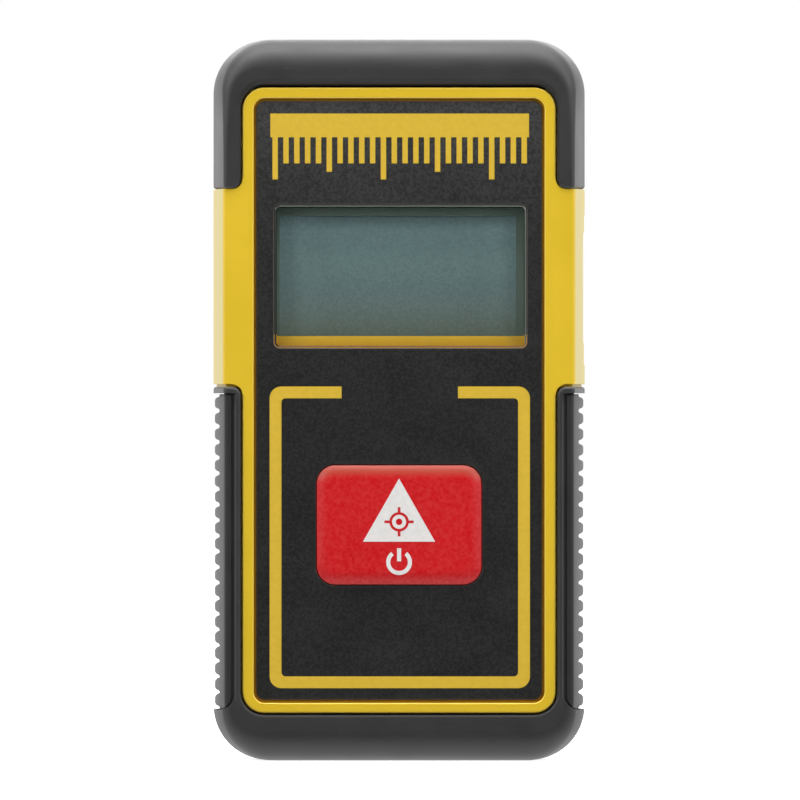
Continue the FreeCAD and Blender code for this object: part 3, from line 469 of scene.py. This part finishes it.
def boot_rubber(name, colour):
    """Rubber of the two bumpers, with painted light and shade: a painted sheen along the upper outline, a
    painted highlight along the edges of the rails, and painted shade in its seam with the yellow ring."""
    surface = rubber(name, colour, sheen=0.095)
    height = surface.along("Z")
    # painted sheen: paler along the upper outline, where it faces up at a slant
    crest_sheen = surface.product(surface.ramp(surface.facing(), 0, 1, 0.3, 0.85), surface.slope("Z", 0.55, 0.75))
    tone = surface.blend(crest_sheen, surface.base(), grey(0.09))

    aside = surface.beside_ring()
    front = surface.ramp(surface.along("Y"), 1, 0, *FRONT_PLACES)
    # painted highlight along the outer edge of each rail
    edge = surface.ramp(surface.off(aside, RAIL_HIGHLIGHT), 1, 0, *RAIL_HIGHLIGHT_WIDTHS)
    rail_highlight = surface.product(edge, front, surface.band(height, RAIL_LOW, RAIL_HIGH, RAIL_FADE))
    tone = surface.blend(rail_highlight, tone, grey(0.052))

    # painted shade: dark in the seam with the yellow ring, further out under the upper bumper
    seam_shade = surface.ramp(aside, 1, 0, SEAM_SHADE_START, SEAM_SHADE_REACH)
    for reach, start in HIGH_SEAM_SHADE_REACHES:
        above = surface.ramp(height, 0, 1, start, start + RING_RADIUS)
        wider = surface.product(surface.ramp(aside, 1, 0, SEAM_SHADE_START, reach), above)
        seam_shade = surface.maths("MAXIMUM", seam_shade, wider)
    seam_shade = surface.product(seam_shade, front)
    return surface.shade(Base_Color=surface.blend(seam_shade, tone, grey(0.006)),
                         Specular_IOR_Level=surface.ramp(seam_shade, 0.5, 0.12, 0, 1))


def grip_rubber(name, colour):
    """Rubber of the grip pads, duller on their front."""
    surface = rubber(name, colour, sheen=0.05)
    return surface.shade(Specular_IOR_Level=surface.ramp(surface.beside_ring(), 0.2, 0.5, *GRIP_TURN))


def film(name, colour, upper_highlight=None):
    """Printed film with an orange-peel surface. Where two heights and a factor are given, a painted
    highlight makes it that much paler towards its upper end, and its slanted edges get a painted highlight."""
    surface = Surface(name)
    soft = surface.rounded(0.05 * MM)
    peel = surface.cells(0.34 * MM, "SMOOTH_F1")
    fine = surface.noise(0.22 * MM, 2)
    height = surface.maths("ADD", surface.product(peel, 0.5), surface.product(fine, 0.5))
    speckle = surface.ramp(surface.noise(0.26 * MM, 3), 0, 1, 0.38, 0.62)
    tone = surface.blend(speckle, tint(colour, 0.62), tint(colour, 1.42))
    if upper_highlight:
        low, high, factor = upper_highlight
        # painted highlight: paler towards the upper end
        share = surface.maths("POWER", surface.ramp(surface.along("Z"), 0, 1, low, high), 3.2)
        tone = surface.scaled(tone, surface.ramp(share, 1, factor, 0, 1))
        # painted highlight on the film's slanted edges
        tone = surface.blend(surface.slope("Y", -0.97, -0.6), tone, FILM_EDGE_HIGHLIGHT)
    rough = surface.ramp(surface.noise(6 * MM, 2), 0.38, 0.47)
    surface.shade(Base_Color=tone, Roughness=rough, IOR=1.5, Specular_IOR_Level=0.45,
                  Normal=surface.bump(height, 0.012 * MM, soft))
    return surface


def ink(name, colour):
    """Screen-printed ink, with the film's peel showing through and a slightly uneven lay."""
    surface = Surface(name)
    uneven = surface.ramp(surface.noise(0.6 * MM, 3), 0, 1)
    tone = surface.blend(uneven, tint(colour, 0.955), tint(colour, 1.035))
    peel = surface.cells(0.34 * MM, "SMOOTH_F1")
    surface.shade(Base_Color=tone, Roughness=surface.ramp(uneven, 0.41, 0.51, 0, 1), Specular_IOR_Level=0.4,
                  Normal=surface.bump(peel, 0.004 * MM))
    return surface


def metal(name, colour, roughness=0.3, brushed=(1, 1, 12)):
    """Drawn or plated metal with fine lines and slight staining."""
    surface = Surface(name)
    lines = surface.noise(0.5 * MM, 4, brushed)
    stain = surface.ramp(surface.noise(2 * MM, 3), 0, 1)
    tone = surface.blend(stain, tint(colour, 0.86), colour)
    rough = surface.ramp(lines, roughness - 0.08, roughness + 0.1)
    surface.shade(Base_Color=tone, Metallic=1.0, Roughness=rough,
                  Normal=surface.bump(lines, 0.004 * MM, surface.rounded(0.05 * MM)))
    return surface


def clear(name, colour):
    """Thin clear pane: it lets the view through, tinted, and mirrors more at a low angle."""
    surface = Surface(name)
    surface.tree.nodes.remove(surface.shader)
    faint = surface.ramp(surface.noise(3 * MM, 3), 0, 1)
    through = surface.add("ShaderNodeBsdfTransparent")
    surface.feed(through.inputs["Color"], surface.blend(faint, tint(colour, 0.985), colour))
    mirror = surface.add("ShaderNodeBsdfGlossy")
    surface.feed(mirror.inputs["Roughness"], surface.ramp(surface.noise(1 * MM, 3), 0.04, 0.09))
    tilt = surface.maths("POWER", surface.facing(), 5.0)
    both = surface.add("ShaderNodeMixShader")
    surface.feed(both.inputs[0], surface.ramp(tilt, 0.035, 1.0, 0, 1))
    surface.feed(both.inputs[1], through.outputs[0])
    surface.feed(both.inputs[2], mirror.outputs[0])
    surface.feed(surface.tree.nodes["Material Output"].inputs["Surface"], both.outputs[0])
    return surface


def lens_glass(name, colour):
    """Solid optical glass or filter, with a faint unevenness in its polish."""
    surface = Surface(name)
    polish = surface.ramp(surface.noise(0.8 * MM, 3), 0.01, 0.05)
    surface.shade(Base_Color=colour, Roughness=polish, IOR=1.52, Transmission_Weight=1.0,
                  Specular_IOR_Level=0.15, Normal=surface.bump(surface.noise(2 * MM), 0.001 * MM))
    return surface


def circuit_board(name):
    """Green solder mask over copper tracks and pads."""
    surface = Surface(name)
    tracks = surface.add("ShaderNodeTexBrick", offset=0.37, squash=1.0)
    place = surface.add("ShaderNodeSeparateXYZ")
    surface.feed(place.inputs[0], surface.place)
    flat = surface.add("ShaderNodeCombineXYZ")
    surface.feed(flat.inputs[0], place.outputs["Z"])
    surface.feed(flat.inputs[1], place.outputs["X"])
    surface.feed(tracks.inputs["Vector"], flat.outputs[0])
    tracks.inputs["Scale"].default_value = 1.0
    tracks.inputs["Brick Width"].default_value = 6.5 * MM
    tracks.inputs["Row Height"].default_value = 0.8 * MM
    tracks.inputs["Mortar Size"].default_value = 0.12 * MM
    copper = surface.ramp(tracks.outputs["Fac"], 0, 1, 0, 1)
    mask = surface.blend(surface.noise(3 * MM), (0.006, 0.075, 0.022, 1), (0.009, 0.1, 0.03, 1))
    surface.shade(Base_Color=surface.blend(copper, mask, (0.03, 0.19, 0.05, 1)),
                  Roughness=surface.ramp(surface.noise(0.5 * MM), 0.28, 0.4), Coat_Weight=0.3,
                  Normal=surface.bump(copper, 0.03 * MM))
    return surface


def display_glass(name):
    """Switched-off reflective display: grey-green polariser, faintly uneven, with painted light and shade:
    darker at its foot and top, brighter in its upper part and at its sides.
    """
    surface = Surface(name)
    share = surface.maths("DIVIDE", surface.along("Z", window_low.z), window_high.z - window_low.z)
    # painted light and shade: darker at the foot and top, brighter in the upper part
    tone = surface.graded(share, DISPLAY_LIGHT_AND_SHADE_TONES)
    drift = surface.ramp(surface.noise(11 * MM, 2), 0.97, 1.03, 0.35, 0.65)
    speck = surface.ramp(surface.noise(0.3 * MM, 2), 0, 1)
    tone = surface.scaled(surface.scaled(tone, drift), surface.ramp(speck, 0.87, 1.07, 0, 1))
    # painted light: brighter towards the sides
    aside = surface.off(surface.along("X"), (window_low.x + window_high.x) / 2)
    tone = surface.scaled(tone, surface.ramp(aside, 1.0, 1.3, *DISPLAY_LIT_SIDES))
    surface.shade(Base_Color=tone, Roughness=surface.ramp(speck, 0.30, 0.38, 0, 1), Specular_IOR_Level=0.35,
                  Normal=surface.bump(surface.noise(0.4 * MM), 0.002 * MM))
    return surface


def foam(name, colour):
    """Fine closed-cell foam."""
    surface = Surface(name)
    pores = surface.cells(0.25 * MM)
    tone = surface.blend(surface.ramp(pores, 0, 1, 0.1, 0.6), tint(colour, 0.7), tint(colour, 1.2))
    surface.shade(Base_Color=tone, Roughness=surface.ramp(pores, 0.85, 0.95, 0, 1), Specular_IOR_Level=0.2,
                  Normal=surface.bump(pores, 0.06 * MM))
    return surface


def pouch(name):
    """Crinkled aluminium-laminate battery pouch."""
    surface = Surface(name)
    creases = surface.noise(2.5 * MM, 3, (1, 1, 0.4))
    tone = surface.blend(creases, (0.56, 0.57, 0.58, 1), (0.72, 0.73, 0.74, 1))
    surface.shade(Base_Color=tone, Metallic=0.85,
                  Roughness=surface.ramp(creases, 0.28, 0.45), Normal=surface.bump(creases, 0.15 * MM))
    return surface


FINISHES = {
    "yellow_shell": shell_plastic("yellow_shell", YELLOW),
    "boot_rubber": boot_rubber("boot_rubber", grey(0.026)),
    "grip_rubber": grip_rubber("grip_rubber", grey(0.028)),
    "panel_black": film("panel_black", grey(0.0175), upper_highlight=(34 * MM, 73 * MM, 2.6)),
    "label_black": film("label_black", grey(0.022)),
    "window_clear": clear("window_clear", (0.95, 0.965, 0.955, 1)),
    "foam_black": foam("foam_black", grey(0.045)),
    "display_grey": display_glass("display_grey"),
    "reflector_silver": metal("reflector_silver", (0.75, 0.76, 0.77, 1), 0.35),
    "holder_white": moulded("holder_white", (0.72, 0.72, 0.69, 1), 0.5),
    "strip_rubber": rubber("strip_rubber", grey(0.28)),
    "button_red": button_plastic("button_red", RED),
    "switch_black": moulded("switch_black", grey(0.03), 0.5),
    "plunger_white": moulded("plunger_white", (0.7, 0.7, 0.67, 1), 0.45),
    "board_green": circuit_board("board_green"),
    "chip_black": moulded("chip_black", grey(0.025), 0.6, 0.08 * MM),
    "tinned_steel": metal("tinned_steel", (0.66, 0.66, 0.65, 1)),
    "ceramic_tan": moulded("ceramic_tan", (0.42, 0.27, 0.14, 1), 0.4),
    "ceramic_dark": moulded("ceramic_dark", grey(0.02), 0.4),
    "flap_rubber": rubber("flap_rubber", grey(0.036)),
    "pouch_foil": pouch("pouch_foil"),
    "wire_red": rubber("wire_red", (0.5, 0.02, 0.02, 1), 0.4),
    "wire_black": rubber("wire_black", grey(0.02), 0.4),
    "optics_black": moulded("optics_black", grey(0.02), 0.55),
    "lens_clear": lens_glass("lens_clear", (0.22, 0.29, 0.36, 1)),
    "barrel_brass": metal("barrel_brass", (0.72, 0.5, 0.2, 1), 0.3, (1, 1, 10)),
    "bezel_black": moulded("bezel_black", grey(0.022), 0.4),
    "filter_red": lens_glass("filter_red", (0.5, 0.03, 0.03, 1)),
    "screw_steel": metal("screw_steel", (0.35, 0.35, 0.36, 1), 0.32),
}
# painted shade: the gasket is coloured like the display in shade, not its own black
gasket_as_shaded_display = moulded("display_gasket", (0.18, 0.235, 0.205, 1), 0.8, specular=0.2)
for name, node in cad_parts.items():
    for material_slot in node.material_slots:
        finish = FINISHES[material_slot.material.name.split(".")[0]]
        material_slot.material = gasket_as_shaded_display.material if name == "display_gasket" else finish.material


def arc(centre, radius, start, end, steps=10):
    """Points along an arc, with its angles in degrees from +X towards +Z."""
    points = []
    for step in range(steps + 1):
        angle = math.radians(start + (end - start) * step / steps)
        points.append((centre[0] + radius * math.cos(angle), centre[1] + radius * math.sin(angle)))
    return points


def circle(centre, radius, steps=40):
    """Points round a circle, the first not repeated."""
    return arc(centre, radius, 0, 360, steps)[:-1]


def rectangle(xs, zs):
    """Corners of a rectangle between two places along X and two along Z."""
    return [(xs[0], zs[0]), (xs[1], zs[0]), (xs[1], zs[1]), (xs[0], zs[1])]


def rounded_rectangle(xs, zs, radius):
    """Outline of the same rectangle with round corners."""
    points = []
    corners = (((xs[1], zs[1]), 0), ((xs[0], zs[1]), 90), ((xs[0], zs[0]), 180), ((xs[1], zs[0]), 270))
    for (x, z), start in corners:
        inward_x = -radius if x == xs[1] else radius
        inward_z = -radius if z == zs[1] else radius
        points += arc((x + inward_x, z + inward_z), radius, start, start + 90)
    return points


def filled(outlines, thickness):
    """Mesh of a flat shape with holes, drawn in x and z, facing -Y, its back at y 0."""
    curve = bpy.data.curves.new("outline", "CURVE")
    curve.dimensions = "2D"
    curve.fill_mode = "BOTH"
    curve.extrude = thickness / 2
    for outline in outlines:
        spline = curve.splines.new("POLY")
        spline.points.add(len(outline) - 1)
        for point, (x, z) in zip(spline.points, outline):
            point.co = (x, z, 0, 1)
        spline.use_cyclic_u = True
    drawn = bpy.data.objects.new("outline", curve)
    mesh = bpy.data.meshes.new_from_object(drawn)
    bpy.data.objects.remove(drawn)
    bpy.data.curves.remove(curve)
    shape = bmesh.new()
    shape.from_mesh(mesh)
    bpy.data.meshes.remove(mesh)
    bmesh.ops.remove_doubles(shape, verts=shape.verts, dist=thickness / 50)
    for vertex in shape.verts:
        x, z, depth = vertex.co
        vertex.co = (x, -depth - thickness / 2, z)
    bmesh.ops.recalc_face_normals(shape, faces=shape.faces)
    return shape


def diced(shape, pitch):
    """Cut a flat shape into cells, so that it can follow a curved surface."""
    for axis in (0, 2):
        values = [vertex.co[axis] for vertex in shape.verts]
        normal = Vector([1 if i == axis else 0 for i in range(3)])
        cut = math.floor(min(values) / pitch) * pitch + pitch
        while cut < max(values):
            parts = shape.verts[:] + shape.edges[:] + shape.faces[:]
            bmesh.ops.bisect_plane(shape, geom=parts, plane_co=normal * cut, plane_no=normal)
            cut += pitch


def piece(name, shape, finish, body):
    """Make an object from a bmesh, and let it ride on a body."""
    mesh = bpy.data.meshes.new(name)
    shape.to_mesh(mesh)
    shape.free()
    mesh.materials.append(finish.material)
    made = bpy.data.objects.new(name, mesh)
    bpy.context.scene.collection.objects.link(made)
    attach(made, body)
    return made


def printed(name, outlines, face_y, finish, facing=-1):
    """Ink on a flat face that looks along -Y, or along +Y where facing is 1."""
    shape = filled(outlines, INK_THICKNESS + INK_OVERLAP)
    for vertex in shape.verts:
        vertex.co.y = face_y + facing * (-vertex.co.y - INK_OVERLAP)
    bmesh.ops.recalc_face_normals(shape, faces=shape.faces)
    return piece(name, shape, finish, "housing")


yellow_ink = ink("yellow_ink", (0.68, 0.455, 0.040, 1))
white_ink = ink("white_ink", (0.78, 0.76, 0.745, 1))
grey_ink = ink("grey_ink", (0.30, 0.30, 0.31, 1))


def scale_outline():
    """A measuring scale: a solid band with ticks of three lengths below it."""
    low_x = overlay_low.x + SCALE_MARGINS[0]
    high_x = overlay_high.x - SCALE_MARGINS[1]
    top = overlay_high.z - SCALE_TOP_MARGIN
    band = top - SCALE_HEIGHT * SCALE_BAND
    points = [(high_x, band), (high_x, top), (low_x, top), (low_x, band)]
    count = int((high_x - low_x) / SCALE_PITCH)
    start = (low_x + high_x) / 2 - count * SCALE_PITCH / 2
    for i in range(count + 1):
        tip = top - SCALE_HEIGHT * (SCALE_BAND + (1 - SCALE_BAND) * SCALE_TICKS[i % len(SCALE_TICKS)])
        left = max(low_x, start + i * SCALE_PITCH - SCALE_TICK / 2)
        right = min(high_x, left + SCALE_TICK)
        points += [(left, band), (left, tip), (right, tip), (right, band)]
    return points


def frame_outline():
    """Rounded line round the button, open at the middle of its top."""
    low_x = overlay_low.x + FRAME_MARGINS[0]
    high_x = overlay_high.x - FRAME_MARGINS[1]
    low_z = overlay_low.z + FRAME_LOW_MARGIN
    high_z = window_low.z - FRAME_BELOW_WINDOW
    middle = (low_x + high_x) / 2
    points = []
    for inset, radius, order in ((0, FRAME_RADIUS, 1), (FRAME_LINE, FRAME_INNER_RADIUS, -1)):
        xs = (low_x + inset, high_x - inset)
        zs = (low_z + inset, high_z - inset)
        loop = [(middle - FRAME_OPENING, zs[1])]
        loop += arc((xs[0] + radius, zs[1] - radius), radius, 90, 180)
        loop += arc((xs[0] + radius, zs[0] + radius), radius, 180, 270)
        loop += arc((xs[1] - radius, zs[0] + radius), radius, 270, 360)
        loop += arc((xs[1] - radius, zs[1] - radius), radius, 0, 90)
        loop.append((middle + FRAME_OPENING, zs[1]))
        points += loop[::order]
    return points


printed("panel_scale", [scale_outline()], overlay_low.y, yellow_ink)
printed("panel_frame", [frame_outline()], overlay_low.y, yellow_ink)


def window_edge():
    """Polished rim of the window pane, which catches the light."""
    shape = bmesh.new()
    rings = []
    for inset, rise in RIM_PROFILE:
        xs = (window_low.x + inset, window_high.x - inset)
        zs = (window_low.z + inset, window_high.z - inset)
        outline = rounded_rectangle(xs, zs, RIM_RADIUS - inset)
        rings.append([shape.verts.new((x, window_low.y - rise, z)) for x, z in outline])
    for first, second in zip(rings, rings[1:] + rings[:1]):
        for i in range(len(first)):
            j = (i + 1) % len(first)
            shape.faces.new((first[i], first[j], second[j], second[i]))
    bmesh.ops.recalc_face_normals(shape, faces=shape.faces)
    return shape


def rim_plastic(name):
    """Polished edge of the clear pane: pale grey as a painted highlight, dark on its left as painted shade,
    and at its foot the colour of the ledge behind it.
    """
    # painted highlight: the rim is pale grey
    surface = moulded(name, PANE_EDGE_HIGHLIGHT, 0.25, 0.3 * MM, 0.002 * MM)
    foot = surface.ramp(surface.along("Z", window_low.z), 1, 0, *RIM_FOOT)
    tone = surface.blend(foot, surface.base(), PANE_FOOT)
    # painted shade: dark on the left side of the rim
    side = surface.ramp(surface.along("X", window_low.x), 1, 0, *RIM_SIDE)
    return surface.shade(Base_Color=surface.blend(side, tone, PANE_SIDE_SHADE))


piece("window_rim", window_edge(), rim_plastic("window_rim"), "housing")

button_low, button_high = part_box("measure_button")
button_centre = (button_low + button_high) / 2
cap_half = (button_high - button_low) / 2 - Vector((BUTTON_FLANGE, 0, BUTTON_FLANGE))


def button_print(name, outlines):
    """White ink that follows the button's face and its cushioned edge."""
    shape = filled(outlines, INK_THICKNESS + INK_OVERLAP)
    diced(shape, DOME_PITCH)
    for vertex in shape.verts:
        x, y, z = vertex.co
        over_x = max(0.0, abs(x) - cap_half.x + CUSHION_WIDTH)
        over_z = max(0.0, abs(z) - cap_half.z + CUSHION_WIDTH)
        fall = CUSHION_RADIUS - math.sqrt(CUSHION_RADIUS**2 - over_x**2 - over_z**2)
        vertex.co = (button_centre.x + x, button_low.y + fall + INK_OVERLAP + y, button_centre.z + z)
    return piece(name, shape, white_ink, "button")


def triangle_outlines():
    """Triangle with a target cut out of it: a dot, a ring and four ticks."""
    triangle = [(-TRIANGLE_HALF, TRIANGLE_BASE), (TRIANGLE_HALF, TRIANGLE_BASE), (0, TRIANGLE_APEX)]
    inner, outer = TARGET_RING
    half = TARGET_LINE / 2
    ring = []
    gap = math.degrees(math.asin(half / outer))
    for quarter in range(4):
        turn = quarter * 90
        ring += arc((0, TARGET_UP), outer, turn + gap, turn + 90 - gap, 8)
        angle = math.radians(turn + 90)
        along, across = (math.cos(angle), math.sin(angle)), (-math.sin(angle), math.cos(angle))
        for side in (-half, half):
            ring.append((along[0] * TARGET_TICK + across[0] * side,
                         TARGET_UP + along[1] * TARGET_TICK + across[1] * side))
    return triangle, ring, circle((0, TARGET_UP), inner), circle((0, TARGET_UP), TARGET_DOT)


def power_outlines():
    """Power sign: an open ring with a bar."""
    half = math.degrees(POWER_OPENING)
    outer = POWER_RADIUS + POWER_LINE / 2
    inner = POWER_RADIUS - POWER_LINE / 2
    ring = arc((0, POWER_UP), outer, 90 + half, 450 - half, 40)
    ring += arc((0, POWER_UP), inner, 450 - half, 90 + half, 40)
    bar = rectangle((-POWER_LINE / 2, POWER_LINE / 2),
                    (POWER_UP + POWER_BAR_FOOT, POWER_UP + outer + POWER_BAR_RISE))
    return ring, bar


button_print("button_triangle", triangle_outlines())
button_print("button_power_sign", power_outlines())

label_low, label_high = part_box("rear_label")


def label_outlines():
    """Thin border with blank fields for writing in."""
    xs = (label_low.x + LABEL_MARGIN, label_high.x - LABEL_MARGIN)
    zs = (label_low.z + LABEL_MARGIN, label_high.z - LABEL_MARGIN)
    outlines = [rectangle(xs, zs)]
    inner_x = (xs[0] + LABEL_LINE, xs[1] - LABEL_LINE)
    pitch = (zs[1] - zs[0] - LABEL_LINE) / LABEL_FIELDS
    for i in range(LABEL_FIELDS):
        low = zs[0] + LABEL_LINE + i * pitch
        outlines.append(rectangle(inner_x, (low, low + pitch - LABEL_LINE)))
    return outlines


printed("label_fields", label_outlines(), label_high.y, grey_ink, 1)


def studio_floor():
    """Plain pale floor under the object."""
    shape = bmesh.new()
    bmesh.ops.create_circle(shape, cap_ends=True, segments=96, radius=FLOOR_RADIUS)
    mesh = bpy.data.meshes.new("studio_floor")
    shape.to_mesh(mesh)
    shape.free()
    surface = Surface("studio_floor")
    paper = surface.noise(40 * MM, 3)
    surface.shade(Base_Color=surface.blend(paper, grey(0.6), grey(0.63)), Roughness=0.9,
                  Specular_IOR_Level=0.1, Emission_Color=(1, 1, 1, 1), Emission_Strength=0.8)
    mesh.materials.append(surface.material)
    floor = bpy.data.objects.new("studio_floor", mesh)
    floor.location.z = cad_low.z - FLOOR_GAP
    floor.visible_diffuse = False
    floor.visible_glossy = False
    bpy.context.scene.collection.objects.link(floor)


def studio_world():
    """White surroundings, dark where the front face mirrors them, so that black stays black, and lit again
    from low in front."""
    world = bpy.data.worlds.new("studio")
    bpy.context.scene.world = world
    world.use_nodes = True
    tree = world.node_tree
    place = tree.nodes.new("ShaderNodeTexCoord").outputs["Generated"]

    def fade(direction, cosines, start, end):
        """Smooth change of brightness between two angles to a direction."""
        facing = tree.nodes.new("ShaderNodeVectorMath")
        facing.operation = "DOT_PRODUCT"
        tree.links.new(place, facing.inputs[0])
        facing.inputs[1].default_value = direction
        ramp = tree.nodes.new("ShaderNodeMapRange")
        ramp.interpolation_type = "SMOOTHSTEP"
        tree.links.new(facing.outputs["Value"], ramp.inputs["Value"])
        for end_name, value in zip(("From Min", "From Max", "To Min", "To Max"), (*cosines, start, end)):
            ramp.inputs[end_name].default_value = value
        return ramp.outputs["Result"]

    def joined(operation, first, second):
        """Two levels of brightness made into one."""
        node = tree.nodes.new("ShaderNodeMath")
        node.operation = operation
        tree.links.new(first, node.inputs[0])
        tree.links.new(second, node.inputs[1])
        return node.outputs[0]

    ahead, behind, below = (0, -1, 0), (0, 1, 0), (0, 0, -1)
    level = joined("MAXIMUM", fade(ahead, AHEAD_COSINES, WORLD_LEVEL, WORLD_AHEAD),
                   fade(below, TABLE_COSINES, 0.0, TABLE_LEVEL))
    level = joined("MULTIPLY", level, fade(below, SIDE_COSINES, 1.0, WORLD_BELOW))
    level = joined("MULTIPLY", level, fade(behind, SIDE_COSINES, 1.0, WORLD_BEHIND))
    rays = tree.nodes.new("ShaderNodeLightPath")
    strength = tree.nodes.new("ShaderNodeMix")
    tree.links.new(rays.outputs["Is Camera Ray"], strength.inputs["Factor"])
    tree.links.new(level, strength.inputs["A"])
    strength.inputs["B"].default_value = 1.0
    background = tree.nodes["Background"]
    tree.links.new(strength.outputs["Result"], background.inputs["Strength"])
    background.inputs["Color"].default_value = (1, 1, 1, 1)


def softbox(name, place, size, power):
    """Large soft lamp that points at the object's middle."""
    lamp = bpy.data.lights.new(name, "AREA")
    lamp.shape = "RECTANGLE"
    lamp.size, lamp.size_y = size
    lamp.energy = power
    held = bpy.data.objects.new(name, lamp)
    held.location = place
    held.rotation_euler = (CENTRE - Vector(place)).to_track_quat("-Z", "Y").to_euler()
    held.visible_camera = False
    bpy.context.scene.collection.objects.link(held)


def studio_camera():
    """Long lens that looks straight at the front."""
    lens = bpy.data.cameras.new("camera")
    lens.lens = CAMERA_LENS
    lens.sensor_width = SENSOR
    distance = VIEW_HEIGHT * CAMERA_LENS / SENSOR
    lens.clip_start = distance * 0.1
    lens.clip_end = distance * 10
    camera = bpy.data.objects.new("camera", lens)
    camera.location = (CENTRE.x + VIEW_SHIFT_X, CENTRE.y - distance, CENTRE.z)
    camera.rotation_euler = (math.radians(90), 0, 0)
    bpy.context.scene.collection.objects.link(camera)
    bpy.context.scene.camera = camera


studio_floor()
studio_world()
for lamp_name, lamp_place, lamp_size, lamp_power in LAMPS:
    softbox(lamp_name, lamp_place, lamp_size, lamp_power)
studio_camera()
bpy.context.scene.view_settings.view_transform = "Standard"
